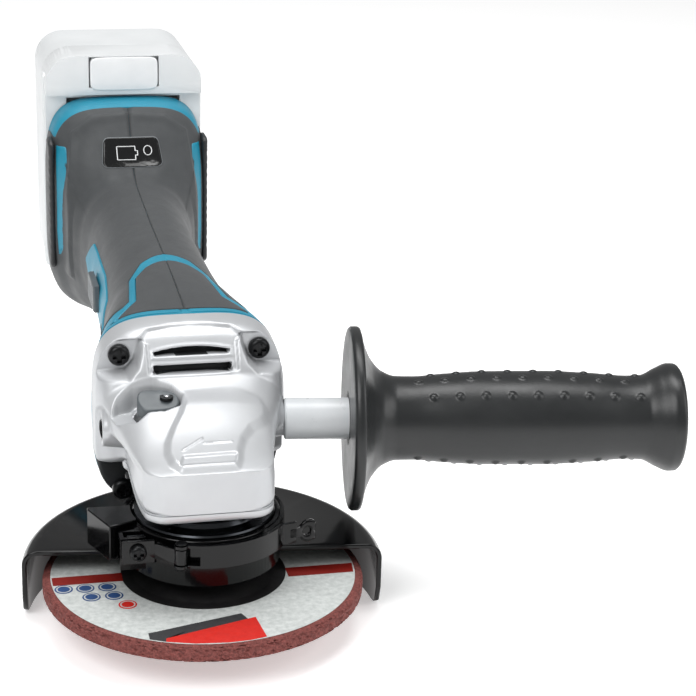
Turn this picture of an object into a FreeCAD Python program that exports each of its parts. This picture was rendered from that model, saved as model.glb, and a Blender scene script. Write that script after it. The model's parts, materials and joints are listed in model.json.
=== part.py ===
import FreeCAD, Part
import math
import os
import Sketcher
from FreeCAD import Placement, Rotation, Vector

# Battery angle grinder with a 125 mm wheel, in millimetres.
# Origin: on the spindle axis, in the plane of the wheel's lower face.
# +Z runs up the spindle, +Y back along the tool to the battery, +X towards the side handle.

# ---------------------------------------------------------------- driving dimensions
DIMS = {
    # wheel, nut and flange, stacked on the spindle
    "wheel_radius": 62.5, "wheel_thickness": 6, "wheel_bore": 11.1, "hub_raise": 4.5,
    "hub_flat_radius": 24, "hub_foot_radius": 33, "nut_radius": 20, "nut_low": 0.5,
    "nut_slot_radius": 2.3, "nut_slot_circle": 15, "flange_radius": 20.5, "flange_pilot": 11,
    "flange_brim": 14.5, "flange_top": 18.5, "flange_hub": 13,
    # spindle and its bearings
    "spindle_end": 0, "thread_radius": 7, "thread_top": 18.5, "journal_radius": 7.5,
    "gear_seat": 8, "gear_seat_low": 41, "gear_seat_top": 51, "top_journal": 4,
    "spindle_top": 61, "bearing_low": 28, "bearing_top": 39, "bearing_outer": 17.5,
    "bush_low": 54, "bush_top": 62, "bush_outer": 6,
    # bearing box under the gear case
    "box_low": 40, "box_top": 44, "neck_radius": 27.5, "neck_low": 20, "neck_top": 34,
    "waist_radius": 23, "seal_bore": 8.4,
    # gear case
    "nose_front": 28.5, "nose_half": 24, "nose_corner": 8, "cheek_back": 6, "cheek_half": 28.4,
    "shoulder_back": 24, "shoulder_half": 33.5, "bell_start": 34, "bell_half": 37.8,
    "joint_plane": 48, "bell_low": 19, "bell_top": 96.5, "silver_low": 39, "gear_room": 23.5, "gear_room_top": 55.2,
    "pinion_room": 9, "fan_room": 31, "fan_room_front": 36, "slot_half": 14.6,
    # bevel pair
    "motor_height": 57, "tooth_module": 1, "gear_teeth": 37, "pinion_teeth": 10,
    "gear_low": 44.4, "gear_flange": 22, "lock_radius": 20.8, "lock_notch": 2.2,
    # motor
    "shaft_radius": 4, "shaft_back": 104, "front_bearing_front": 27, "front_bearing_back": 34,
    "front_bearing_outer": 11, "rear_bearing_front": 94, "rear_bearing_back": 100,
    "rear_bearing_outer": 9.5, "stator_front": 58, "stator_back": 86, "stator_outer": 22.5,
    "stator_inner": 13, "rotor_radius": 12.4, "rotor_front": 57, "rotor_back": 87,
    "fan_radius": 28, "fan_front": 38, "fan_back": 46,
    # body shells, soft grip and rear end
    "soft_thickness": 1.2, "shell_depth": 3.7, "soft_front": 52, "soft_back": 236,
    "body_back": 250, "wall_back": 246, "pad_back": 103, "band_back": 111,
    "panel_half": 14.5, "panel_low": 113.5, "panel_top": 126.5,
    "strip_low": 63, "strip_top": 119, "strip_inner": 30, "strip_front": 221,
    # guard
    "guard_radius": 70.5, "guard_sheet": 2, "guard_plate": 14, "guard_low": -13,
    "collar_inner": 27.56, "collar_outer": 29.8, "collar_top": 33, "guard_turn": -6.6,
    "band_outer": 31.4, "band_low": 19.8, "band_top": 32.6,
    "lever_inner": 32, "lever_outer": 33.6, "lever_low": 20.4, "lever_top": 33,
    # side handle
    "handle_tilt": 8.3, "handle_side": 36.1, "handle_back": 26, "handle_height": 58,
    "stud_radius": 4, "stud_depth": 16, "stud_bore": 4.05, "boss_radius": 9.5,
    "spacer_radius": 8.3, "spacer_length": 26, "disc_radius": 36.9, "grip_length": 134,
    "core_radius": 11,
    # battery
    "pack_half": 37.5, "pack_front": 251, "pack_split": 272, "pack_back": 311,
    "pack_low": 42, "pack_top": 159, "pack_corner": 14, "pack_step": 140, "pack_nose": 246.5,
    "channel_half": 27.5, "channel_back": 261, "channel_top": 138, "cell_radius": 9,
    "cell_length": 65, "cell_pitch": 18.4,
    "button_half": 16.5, "button_low": 147, "button_top": 158,
}

doc = FreeCAD.newDocument("angle_grinder")
sheet = doc.addObject("Spreadsheet::Sheet", "Dims")
for row, (alias, size) in enumerate(DIMS.items(), start=1):
    sheet.set(f"A{row}", alias.replace("_", " "))
    sheet.set(f"B{row}", str(size))
    sheet.setAlias(f"B{row}", alias)
doc.recompute()

X_AXIS, Y_AXIS, Z_AXIS = Vector(1, 0, 0), Vector(0, 1, 0), Vector(0, 0, 1)
SUB_PARTS = []


# ---------------------------------------------------------------- helpers
def number(word):
    """A dimension's value, or the number that the word spells."""
    return float(DIMS[word]) if word in DIMS else float(word)


def value_of(text):
    """The value of sums and products of dimension names and numbers, read left to right by term."""
    total, term, sign, action = 0.0, None, 1.0, "*"
    for word in str(text).split():
        if word in "+-":
            total += sign * (term or 0.0)
            sign, term = (1.0 if word == "+" else -1.0), None
        elif word in "*/":
            action = word
        elif term is None:
            term = number(word)
        else:
            term = term * number(word) if action == "*" else term / number(word)
    return total + sign * (term or 0.0)


def expression(text):
    """The same sum as an expression on the sheet."""
    return " ".join(f"Dims.{w}" if w in DIMS else w for w in str(text).split())


def keep(obj, label):
    """Marks a document object as the sub-part of that name."""
    obj.Label = label
    SUB_PARTS.append((label, obj))
    return obj


def origin_plane(body, role):
    return next(f for f in body.Origin.OriginFeatures if f.Role == role)


def outline(sketch, points):
    """A closed outline of straight runs, each corner held by two sheet-driven distances."""
    corners = [Vector(value_of(x), value_of(y), 0) for x, y in points]
    start = sketch.GeometryCount
    count = len(points)
    for i in range(count):
        sketch.addGeometry(Part.LineSegment(corners[i], corners[(i + 1) % count]), False)
    for i in range(count):
        here, after = start + i, start + (i + 1) % count
        sketch.addConstraint(Sketcher.Constraint("Coincident", here, 2, after, 1))
    for i, point in enumerate(points):
        for kind, text in zip(("DistanceX", "DistanceY"), point):
            held = Sketcher.Constraint(kind, start + i, 1, value_of(text))
            index = sketch.addConstraint(held)
            sketch.setExpression(f"Constraints[{index}]", expression(text))


def sketch_in(body, name, role, offset=None):
    sketch = body.newObject("Sketcher::SketchObject", name)
    sketch.AttachmentSupport = [(origin_plane(body, role), "")]
    sketch.MapMode = "FlatFace"
    if offset is not None:
        sketch.setExpression("AttachmentOffset.Base.z", expression(offset))
    return sketch


def turned(label, *profiles, place=None, angles=None):
    """A body of revolution about its own Z axis, from (radius, height) outlines."""
    body = doc.addObject("PartDesign::Body", label)
    for i, profile in enumerate(profiles):
        sketch = sketch_in(body, f"{label}_outline{i}", "XZ_Plane")
        outline(sketch, profile)
        turn = body.newObject("PartDesign::Revolution", f"{label}_turn{i}")
        turn.Profile = sketch
        turn.ReferenceAxis = (sketch, ["V_Axis"])
        turn.Angle = 360 if angles is None else angles[i]
        doc.recompute()
    if place is not None:
        body.Placement = place
    return keep(body, label)


def padded(body, name, points, low, height):
    """Adds a pad of that outline to a body, from z = low upwards."""
    sketch = sketch_in(body, f"{name}_outline", "XY_Plane", low)
    outline(sketch, points)
    pad = body.newObject("PartDesign::Pad", name)
    pad.Profile = sketch
    pad.setExpression("Length", expression(height))
    doc.recompute()
    return pad


def rounded_upright_edges(body, feature, radius):
    """Fillets the edges of a pad that run along Z."""
    names = []
    for i, edge in enumerate(feature.Shape.Edges, start=1):
        if len(edge.Vertexes) == 2:
            run = edge.Vertexes[1].Point - edge.Vertexes[0].Point
            if abs(run.x) + abs(run.y) < 1e-6:
                names.append(f"Edge{i}")
    fillet = body.newObject("PartDesign::Fillet", feature.Name + "_round")
    fillet.Base = (feature, names)
    fillet.Radius = radius
    doc.recompute()
    return fillet


def block(label, x_span, y_span, z_span):
    """A Part::Box between two sheet-driven values on each axis."""
    box = doc.addObject("Part::Box", label)
    for axis, side, (low, high) in zip("xyz", ("Length", "Width", "Height"),
                                       (x_span, y_span, z_span)):
        box.setExpression(f"Placement.Base.{axis}", expression(low))
        box.setExpression(side, f"({expression(high)}) - ({expression(low)})")
    doc.recompute()
    return box


def rod(label, radius, start, direction, length):
    """A Part::Cylinder from a point along a direction."""
    cylinder = doc.addObject("Part::Cylinder", label)
    cylinder.setExpression("Radius", expression(radius))
    cylinder.setExpression("Height", expression(length))
    cylinder.Placement = Placement(start, Rotation(Z_AXIS, direction))
    doc.recompute()
    return cylinder


def joined(label, pieces):
    fuse = doc.addObject("Part::MultiFuse", label)
    fuse.Shapes = pieces
    doc.recompute()
    return fuse


def cut_from(label, base, tools):
    """base with every tool taken away."""
    cut = doc.addObject("Part::Cut", label)
    cut.Base = base
    cut.Tool = tools[0] if len(tools) == 1 else joined(label + "_tools", tools)
    doc.recompute()
    return cut


def shaped(label, shape):
    """A Part::Feature for a piece that the primitives and sketches don't give."""
    feature = doc.addObject("Part::Feature", label)
    feature.Shape = shape
    return keep(feature, label)


D = {alias: float(size) for alias, size in DIMS.items()}
MOTOR_PLACE = Placement(Vector(0, 0, D["motor_height"]), Rotation(X_AXIS, -90))
TILT = math.radians(D["handle_tilt"])
HANDLE_LINE = Vector(math.cos(TILT), -math.sin(TILT), 0)
HANDLE_FACE = Vector(D["handle_side"], D["handle_back"], D["handle_height"])
HANDLE_PLACE = Placement(HANDLE_FACE, Rotation(Z_AXIS, HANDLE_LINE))
LOCK_AXIS = Vector(-12, 17, 0)


# ---------------------------------------------------------------- wheel end, on the spindle axis
def wheel_end():
    turned("grinding_wheel", [
        ("wheel_bore", "hub_raise"), ("hub_flat_radius", "hub_raise"),
        ("hub_foot_radius", "0"), ("wheel_radius", "0"),
        ("wheel_radius", "wheel_thickness"), ("hub_foot_radius", "wheel_thickness"),
        ("hub_flat_radius", "hub_raise + wheel_thickness"),
        ("wheel_bore", "hub_raise + wheel_thickness")])
    turned("inner_flange", [
        ("thread_radius", "hub_raise"), ("flange_pilot", "hub_raise"),
        ("flange_pilot", "hub_raise + wheel_thickness"),
        ("flange_radius", "hub_raise + wheel_thickness"),
        ("flange_radius", "flange_brim"), ("flange_hub", "flange_top"),
        ("thread_radius", "flange_top")])
    nut = doc.addObject("PartDesign::Body", "lock_nut")
    sketch = sketch_in(nut, "lock_nut_outline", "XZ_Plane")
    outline(sketch, [("thread_radius", "nut_low"), ("nut_radius - 1", "nut_low"),
                     ("nut_radius", "nut_low + 1"), ("nut_radius", "hub_raise"),
                     ("thread_radius", "hub_raise")])
    turn = nut.newObject("PartDesign::Revolution", "lock_nut_turn")
    turn.Profile = sketch
    turn.ReferenceAxis = (sketch, ["V_Axis"])
    doc.recompute()
    slots = sketch_in(nut, "lock_nut_pin_holes", "XY_Plane")
    circle = Part.Circle(Vector(D["nut_slot_circle"], 0, 0), Z_AXIS, D["nut_slot_radius"])
    slots.addGeometry(circle, False)
    radius = slots.addConstraint(Sketcher.Constraint("Radius", 0, D["nut_slot_radius"]))
    slots.setExpression(f"Constraints[{radius}]", "Dims.nut_slot_radius")
    along = slots.addConstraint(
        Sketcher.Constraint("DistanceX", 0, 3, D["nut_slot_circle"]))
    slots.setExpression(f"Constraints[{along}]", "Dims.nut_slot_circle")
    slots.addConstraint(Sketcher.Constraint("DistanceY", 0, 3, 0))
    doc.recompute()
    pocket = nut.newObject("PartDesign::Pocket", "lock_nut_pocket")
    pocket.Profile = slots
    pocket.Reversed = True
    pocket.Type = 0
    pocket.setExpression("Length", "Dims.nut_low + 2")
    doc.recompute()
    ring = nut.newObject("PartDesign::PolarPattern", "lock_nut_holes")
    ring.Originals = [pocket]
    ring.Axis = (sketch, ["V_Axis"])
    ring.Angle = 360
    ring.Occurrences = 4
    nut.Tip = ring
    doc.recompute()
    keep(nut, "lock_nut")
    turned("spindle", [
        ("0", "spindle_end"), ("thread_radius - 1", "spindle_end"),
        ("thread_radius", "spindle_end + 1"), ("thread_radius", "thread_top"),
        ("journal_radius", "thread_top"), ("journal_radius", "gear_seat_low"),
        ("gear_seat", "gear_seat_low"), ("gear_seat", "gear_seat_top"),
        ("top_journal", "gear_seat_top"), ("top_journal", "spindle_top - 0.5"),
        ("top_journal - 0.5", "spindle_top"), ("0", "spindle_top")])


def ball_bearing(label, bore, outer, low, high, place=None):
    """Outer ring, inner ring and balls as separate solids. The inner ring clears its shaft."""
    width = high - low
    middle = (low + high) / 2
    ball = 0.28 * (outer - bore)
    path = (outer + bore) / 2
    race = 0.3 * (outer - bore)
    rings = []
    for inner_r, outer_r in ((bore + 0.05, bore + race), (outer - race, outer)):
        ring = Part.makeCylinder(outer_r, width, Vector(0, 0, low))
        ring = ring.cut(Part.makeCylinder(inner_r, width, Vector(0, 0, low)))
        groove = Part.makeTorus(path, ball + 0.08, Vector(0, 0, middle))
        rings.append(ring.cut(groove))
    count = int(2 * math.pi * path / (2.9 * ball))
    for i in range(count):
        angle = 2 * math.pi * i / count
        centre = Vector(path * math.cos(angle), path * math.sin(angle), middle)
        rings.append(Part.makeSphere(ball, centre))
    feature = shaped(label, Part.makeCompound(rings))
    if place is not None:
        feature.Placement = place


def bearing_box():
    body = doc.addObject("PartDesign::Body", "bearing_box")
    plate = padded(body, "bearing_box_plate", nose_outline("30"), "box_low",
                   "box_top - box_low")
    rounded_upright_edges(body, plate, D["nose_corner"])
    sketch = sketch_in(body, "bearing_box_neck", "XZ_Plane")
    outline(sketch, [("bearing_outer", "bearing_low"), ("bearing_outer", "box_low"),
                     ("waist_radius", "box_low"), ("waist_radius", "neck_top + 2"),
                     ("neck_radius", "neck_top"), ("neck_radius", "neck_low"),
                     ("seal_bore", "neck_low"), ("seal_bore", "bearing_low")])
    turn = body.newObject("PartDesign::Revolution", "bearing_box_turn")
    turn.Profile = sketch
    turn.ReferenceAxis = (sketch, ["V_Axis"])
    doc.recompute()
    bore = sketch_in(body, "bearing_box_bore", "XY_Plane", "box_top")
    circle = Part.Circle(Vector(0, 0, 0), Z_AXIS, D["bearing_outer"])
    bore.addGeometry(circle, False)
    bore.addConstraint(Sketcher.Constraint("Coincident", 0, 3, -1, 1))
    radius = bore.addConstraint(Sketcher.Constraint("Radius", 0, D["bearing_outer"]))
    bore.setExpression(f"Constraints[{radius}]", "Dims.bearing_outer")
    doc.recompute()
    pocket = body.newObject("PartDesign::Pocket", "bearing_box_hole")
    pocket.Profile = bore
    pocket.setExpression("Length", "Dims.box_top - Dims.bearing_low")
    doc.recompute()
    tools = [rod(f"box_screw_hole{i}", "1.85", Vector(x, y, D["box_low"] - 1), Z_AXIS, "6")
             for i, (x, y) in enumerate(BOX_SCREWS)]
    keep(cut_from("bearing_box_drilled", body, tools), "bearing_box")


def nose_outline(back):
    """Plan outline of the nose, widening back from its front face to y = back."""
    return [("0 - nose_half", "0 - nose_front"), ("nose_half", "0 - nose_front"),
            ("cheek_half", "cheek_back"), ("cheek_half + 2", back),
            ("0 - cheek_half - 2", back), ("0 - cheek_half", "cheek_back")]


BOX_SCREWS = [(-17.5, -21), (17.5, -21), (-24.5, 22), (24.5, 22)]
CASE_SCREWS = [(-28, 84.5), (28, 84.5), (-27, 27), (27, 27)]
SHELL_SCREWS = [(112, 52), (172, 56), (172, 92), (228, 48), (224, 110)]


# ---------------------------------------------------------------- gear case
def rounded_section(y, half, low, top, corner):
    """A rounded rectangle in the plane at y, as one closed wire."""
    wire = []
    arcs = ((half - corner, top - corner, 0), (-half + corner, top - corner, 90),
            (-half + corner, low + corner, 180), (half - corner, low + corner, 270))
    ends = []
    for cx, cz, start in arcs:
        points = []
        for step in (0, 45, 90):
            a = math.radians(start + step)
            points.append(Vector(cx + corner * math.cos(a), y, cz + corner * math.sin(a)))
        ends.append(points)
    for i, points in enumerate(ends):
        wire.append(Part.Arc(*points).toShape())
        wire.append(Part.LineSegment(points[2], ends[(i + 1) % 4][0]).toShape())
    return Part.Wire(wire)


def squircle(y, half, low, top, power, count=32):
    """A closed curve in the plane at y: |x / half|^power + |z / tall|^power = 1."""
    tall, middle = (top - low) / 2, (top + low) / 2
    points = []
    for i in range(count):
        t = 2 * math.pi * (i + 0.5) / count
        c, s = math.cos(t), math.sin(t)
        x = half * math.copysign(abs(c) ** (2 / power), c)
        z = middle + tall * math.copysign(abs(s) ** (2 / power), s)
        points.append(Vector(x, y, z))
    curve = Part.BSplineCurve()
    curve.interpolate(points, True)
    return Part.Wire([curve.toShape()])


BELL_POWER = 3.8


def bell_prism(y_from, y_to, half):
    wire = squircle(y_from, half, D["bell_low"], D["bell_top"], BELL_POWER)
    return Part.Face(wire).extrude(Vector(0, y_to - y_from, 0))


def section_prism(y_from, y_to, half, low, top, corner):
    face = Part.Face(rounded_section(y_from, half, low, top, corner))
    return face.extrude(Vector(0, y_to - y_from, 0))


def gear_case():
    """Where three extrusions meet: the plan, the side view and the bell's round-cornered end."""
    plan_points = [(D["nose_half"], -D["nose_front"]), (D["cheek_half"], D["cheek_back"]),
                   (D["shoulder_half"], D["shoulder_back"]), (D["bell_half"], D["bell_start"]),
                   (D["bell_half"], D["joint_plane"])]
    plan = [Vector(x, y, 0) for x, y in plan_points]
    plan += [Vector(-p.x, p.y, 0) for p in reversed(plan)]
    solid = Part.Face(Part.makePolygon(plan + plan[:1])).extrude(Vector(0, 0, 120))
    side = [(-D["nose_front"], D["box_top"]), (-D["nose_front"], 58.5), (-22, 61), (-8, 65),
            (26, 80), (31, 88), (36, 93.5), (D["joint_plane"], D["bell_top"]),
            (D["joint_plane"], D["silver_low"]), (D["bell_start"] + 4, D["silver_low"]),
            (D["bell_start"] - 2, D["box_top"])]
    side = [Vector(-60, y, z) for y, z in side]
    roof = Part.Face(Part.makePolygon(side + side[:1])).extrude(Vector(120, 0, 0))
    solid = solid.common(roof)
    upright = [e for e in solid.Edges if len(e.Vertexes) == 2
               and all(abs(v.Y + D["nose_front"]) < 0.01 for v in e.Vertexes)
               and abs(e.Vertexes[0].X - e.Vertexes[1].X) < 0.01]
    solid = solid.makeFillet(D["nose_corner"], upright)
    solid = solid.common(bell_prism(-D["nose_front"], D["joint_plane"], D["bell_half"]))
    for side_sign in (1, -1):
        start = Vector(side_sign * 22, D["handle_back"] + 14 * math.sin(TILT),
                       D["handle_height"])
        line = Vector(side_sign * math.cos(TILT), -math.sin(TILT), 0)
        reach = (D["handle_side"] - 22) / math.cos(TILT)
        solid = solid.fuse(Part.makeCylinder(D["boss_radius"], reach, start, line))
    solid = solid.removeSplitter()
    solid = solid.cut(joined_rooms())
    return shaped("gear_housing", solid)


def joined_rooms():
    """Everything that is bored, pocketed or slotted out of the gear case."""
    low, motor = D["box_top"], D["motor_height"]
    rooms = [
        Part.makeCylinder(D["gear_room"], D["gear_room_top"] - low, Vector(0, 0, low)),
        Part.makeCylinder(D["bush_outer"], D["bush_top"] - low, Vector(0, 0, low)),
        Part.makeCylinder(D["pinion_room"], D["front_bearing_front"] - 4,
                          Vector(0, 4, motor), Y_AXIS),
        Part.makeCylinder(D["front_bearing_outer"],
                          D["front_bearing_back"] - D["front_bearing_front"],
                          Vector(0, D["front_bearing_front"], motor), Y_AXIS),
        Part.makeCylinder(D["shaft_radius"] + 2, 20, Vector(0, 30, motor), Y_AXIS),
        Part.makeCylinder(D["fan_room"], D["joint_plane"] - D["fan_room_front"],
                          Vector(0, D["fan_room_front"], motor), Y_AXIS),
        Part.makeBox(2 * D["slot_half"], 24, 3, Vector(-D["slot_half"], 18, 79.8)),
        Part.makeBox(2 * D["slot_half"], 14, 3, Vector(-D["slot_half"], 26, 86.2)),
        Part.makeCylinder(1.85, 20, Vector(LOCK_AXIS.x, LOCK_AXIS.y, 50)),
        Part.makeBox(30, 18, 30, Vector(-38, 8, 64.6)),
        Part.makeCylinder(9, 30, Vector(-9, 17, 64.6)),
    ]
    for x, z in CASE_SCREWS[:2]:
        rooms.append(Part.makeCylinder(2.15, 40, Vector(x, 20, z), Y_AXIS))
        rooms.append(Part.makeCylinder(6.2, 68, Vector(x, -30, z), Y_AXIS))
    for x, y in BOX_SCREWS:
        rooms.append(Part.makeCylinder(1.85, 9, Vector(x, y, low)))
    for sign in (1, -1):
        line = Vector(sign * math.cos(TILT), -math.sin(TILT), 0)
        face = Vector(sign * D["handle_side"], D["handle_back"], D["handle_height"])
        rooms.append(Part.makeCylinder(D["stud_bore"], D["stud_depth"] + 10,
                                       face - line * D["stud_depth"], line))
        rooms.append(Part.makeCylinder(D["boss_radius"] + 8, 20, face, line))
    return rooms[0].fuse(rooms[1:])


def lower_flange():
    """Black lower part of the bell, under the silver case, which carries the two lower screws."""
    start = D["bell_start"] + 4
    ring = bell_prism(start, D["joint_plane"], D["bell_half"] - 2)
    ring = ring.common(Part.makeBox(100, 100, D["silver_low"], Vector(-50, 0, 0)))
    ring = ring.cut(Part.makeCylinder(D["fan_room"], 60, Vector(0, 0, D["motor_height"]), Y_AXIS))
    for x, z in CASE_SCREWS[2:]:
        ring = ring.cut(Part.makeCylinder(2.15, 60, Vector(x, 20, z), Y_AXIS))
    return shaped("lower_flange", ring)


def pan_screw(head_radius, head_height, shank_radius, length):
    """A cross-recess pan screw with its head's underside at z = 0 and its shank along -Z."""
    head = Part.makeCylinder(head_radius, head_height)
    rim = [e for e in head.Edges if abs(e.BoundBox.ZMin - head_height) < 1e-6
           and abs(e.BoundBox.ZMax - head_height) < 1e-6]
    head = head.makeFillet(head_height * 0.6, rim)
    screw = head.fuse(Part.makeCylinder(shank_radius, length, Vector(0, 0, -length)))
    arm, slot = head_radius * 0.62, head_radius * 0.22
    for size in ((2 * arm, 2 * slot), (2 * slot, 2 * arm)):
        corner = Vector(-size[0] / 2, -size[1] / 2, head_height * 0.45)
        screw = screw.cut(Part.makeBox(size[0], size[1], head_height, corner))
    return screw


def placed(shape, place):
    moved = shape.copy()
    moved.Placement = place.multiply(moved.Placement)
    return moved


def screws():
    facing_front = Rotation(Z_AXIS, Vector(0, -1, 0))
    case = []
    for i, (x, z) in enumerate(CASE_SCREWS):
        seat = 38
        case.append(placed(pan_screw(4.3, 3.2, 2.05, 20),
                           Placement(Vector(x, seat, z), facing_front)))
    shaped("housing_screws", Part.makeCompound(case))
    facing_down = Rotation(X_AXIS, 180)
    box = [placed(pan_screw(3.3, 2.2, 1.75, 11),
                  Placement(Vector(x, y, D["box_low"]), facing_down)) for x, y in BOX_SCREWS]
    shaped("bearing_box_screws", Part.makeCompound(box))


# ---------------------------------------------------------------- bevel pair
def bevel(label, teeth, cone, first_tooth, low, extra, place):
    """Straight bevel gear with its apex at the origin and its axis along Z.

    Each tooth is a wedge that shrinks to the apex, between the heel and 0.62 of its size.
    cone is the pitch angle, and low is how far the blank reaches below the apex."""
    module = D["tooth_module"]
    pitch_radius = module * teeth / 2
    reach = pitch_radius / math.sin(cone)
    toe = 0.62
    foot, tip = 1.15 * module, 0.8 * module

    def ring_point(distance, rise):
        """(radius, height) at that cone distance, rise outwards from the pitch cone."""
        radius = distance * math.sin(cone) + rise * math.cos(cone)
        height = -distance * math.cos(cone) + rise * math.sin(cone)
        return radius, height

    heel, inner = ring_point(reach, -foot), ring_point(reach * toe, -foot * toe)
    profile = [Vector(0, 0, low), Vector(heel[0], 0, low), Vector(heel[0], 0, heel[1]),
               Vector(inner[0], 0, inner[1]), Vector(0, 0, inner[1])]
    blank = Part.Face(Part.makePolygon(profile + profile[:1])).revolve(
        Vector(0, 0, 0), Z_AXIS, 360)

    def tooth_wire(scale):
        points = []
        for rise, share in ((-foot * 1.1, 0.27), (0, 0.185), (tip, 0.11)):
            radius, height = ring_point(reach, rise)
            points.append((radius * scale, height * scale, share * math.pi * module * scale))
        right = [Vector(r, w, h) for r, h, w in points]
        left = [Vector(r, -w, h) for r, h, w in reversed(points)]
        return Part.makePolygon(right + left + right[:1])

    tooth = Part.makeLoft([tooth_wire(1.0), tooth_wire(toe)], True, True)
    wedges = []
    for i in range(teeth):
        turn = Rotation(Z_AXIS, first_tooth + 360.0 * i / teeth)
        wedges.append(placed(tooth, Placement(Vector(0, 0, 0), turn)))
    solid = blank.fuse(wedges)
    for tool in extra:
        solid = solid.cut(tool) if tool.Volume > 0 else solid
    feature = shaped(label, solid)
    feature.Placement = place


def bevel_pair():
    gear_cone = math.atan2(D["gear_teeth"], D["pinion_teeth"])
    apex = D["motor_height"]
    teeth = int(D["gear_teeth"])
    low = D["gear_low"] - apex
    bore = Part.makeCylinder(D["gear_seat"], 40, Vector(0, 0, -20))
    bevel("bevel_gear", teeth, gear_cone, 90, low, [bore], Placement(Vector(0, 0, apex), Rotation()))
    gear = SUB_PARTS.pop()[1]
    rim = Part.makeCylinder(D["gear_flange"], 3, Vector(0, 0, D["gear_low"]))
    rim = rim.cut(Part.makeCylinder(D["gear_seat"], 3, Vector(0, 0, D["gear_low"])))
    first = math.atan2(LOCK_AXIS.y, LOCK_AXIS.x)
    for i in range(12):
        angle = first + math.radians(30 * i)
        centre = Vector(D["lock_radius"] * math.cos(angle), D["lock_radius"] * math.sin(angle),
                        D["gear_low"] - 1)
        rim = rim.cut(Part.makeCylinder(D["lock_notch"], 6, centre))
    notches = gear.Shape.fuse(rim)
    for i in range(12):
        angle = first + math.radians(30 * i)
        centre = Vector(D["lock_radius"] * math.cos(angle), D["lock_radius"] * math.sin(angle),
                        D["gear_low"] - 1)
        notches = notches.cut(Part.makeCylinder(D["lock_notch"], 6, centre))
    doc.removeObject(gear.Name)
    shaped("bevel_gear", notches)
    pinion_cone = math.atan2(D["pinion_teeth"], D["gear_teeth"])
    count = int(D["pinion_teeth"])
    bore = Part.makeCylinder(D["shaft_radius"] / 2, 60, Vector(0, 0, -40))
    # apex at the spindle axis, blank reaching back along +Y
    back = Rotation(X_AXIS, 90)
    bevel("pinion", count, pinion_cone, 90 + 180.0 / count, -23, [bore],
          Placement(Vector(0, 0, apex), back))


# ---------------------------------------------------------------- motor
def motor():
    turned("rotor_shaft", [
        ("0", "10"), ("shaft_radius / 2", "10"), ("shaft_radius / 2", "23"),
        ("shaft_radius", "23"), ("shaft_radius", "rear_bearing_front - 2"),
        ("shaft_radius - 1", "rear_bearing_front - 2"), ("shaft_radius - 1", "shaft_back"),
        ("0", "shaft_back")], place=MOTOR_PLACE)
    turned("rotor_core", [
        ("shaft_radius", "rotor_front"), ("rotor_radius", "rotor_front"),
        ("rotor_radius", "rotor_back"), ("shaft_radius", "rotor_back")], place=MOTOR_PLACE)
    ball_bearing("front_bearing", D["shaft_radius"], D["front_bearing_outer"],
                 D["front_bearing_front"], D["front_bearing_back"], MOTOR_PLACE)
    ball_bearing("rear_bearing", D["shaft_radius"] - 1, D["rear_bearing_outer"],
                 D["rear_bearing_front"], D["rear_bearing_back"], MOTOR_PLACE)
    fan = Part.makeCylinder(D["fan_radius"], 1.6, Vector(0, 0, D["fan_back"] - 1.6))
    fan = fan.fuse(Part.makeCylinder(7, D["fan_back"] - D["fan_front"] - 1.6,
                                     Vector(0, 0, D["fan_front"])))
    blade_count = 13
    for i in range(blade_count):
        blade = Part.makeBox(14, 1.4, 6.2, Vector(12, -0.7, D["fan_back"] - 7.6))
        blade.rotate(Vector(20, 0, 0), Z_AXIS, 24)
        blade.rotate(Vector(0, 0, 0), Z_AXIS, 360.0 * i / blade_count)
        fan = fan.fuse(blade)
    fan = fan.cut(Part.makeCylinder(D["shaft_radius"], 30, Vector(0, 0, D["fan_front"] - 5)))
    shaped("cooling_fan", fan).Placement = MOTOR_PLACE
    length = D["stator_back"] - D["stator_front"]
    core = Part.makeCylinder(D["stator_outer"], length, Vector(0, 0, D["stator_front"]))
    core = core.cut(Part.makeCylinder(D["stator_outer"] - 3, length,
                                      Vector(0, 0, D["stator_front"])))
    coils = []
    for i in range(6):
        tooth = Part.makeBox(7, 6, length, Vector(D["stator_inner"], -3, D["stator_front"]))
        coil = Part.makeBox(4.4, 10, length + 6, Vector(14, -5, D["stator_front"] - 3))
        coil = coil.cut(Part.makeBox(20, 6, length, Vector(5, -3, D["stator_front"])))
        edges = [e for e in coil.Edges if e.Length < 11 and abs(
            e.BoundBox.ZMax - e.BoundBox.ZMin) < 1e-6 and abs(e.BoundBox.XMax
                                                              - e.BoundBox.XMin) > 4.3]
        coil = coil.makeFillet(1.2, [e for e in edges if abs(e.CenterOfMass.y) > 4.9]) \
            if edges else coil
        for piece, store in ((tooth, None), (coil, coils)):
            piece.rotate(Vector(0, 0, 0), Z_AXIS, 60 * i)
            if store is None:
                core = core.fuse(piece)
            else:
                store.append(piece)
    core = core.cut(Part.makeCylinder(D["stator_inner"], length,
                                      Vector(0, 0, D["stator_front"])))
    shaped("stator_core", core).Placement = MOTOR_PLACE
    shaped("stator_coils", Part.makeCompound(coils)).Placement = MOTOR_PLACE
    turned("baffle_plate", [
        ("14", "joint_plane + 2"), ("29", "joint_plane + 2"),
        ("29", "joint_plane + 4"), ("14", "joint_plane + 4")], place=MOTOR_PLACE)
    turned("rear_bearing_seat", [
        ("rear_bearing_outer", "rear_bearing_front"),
        ("rear_bearing_outer + 4", "rear_bearing_front"),
        ("rear_bearing_outer + 4", "rear_bearing_back + 2"),
        ("shaft_radius", "rear_bearing_back + 2"), ("shaft_radius", "rear_bearing_back"),
        ("rear_bearing_outer", "rear_bearing_back")], place=MOTOR_PLACE)


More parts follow.
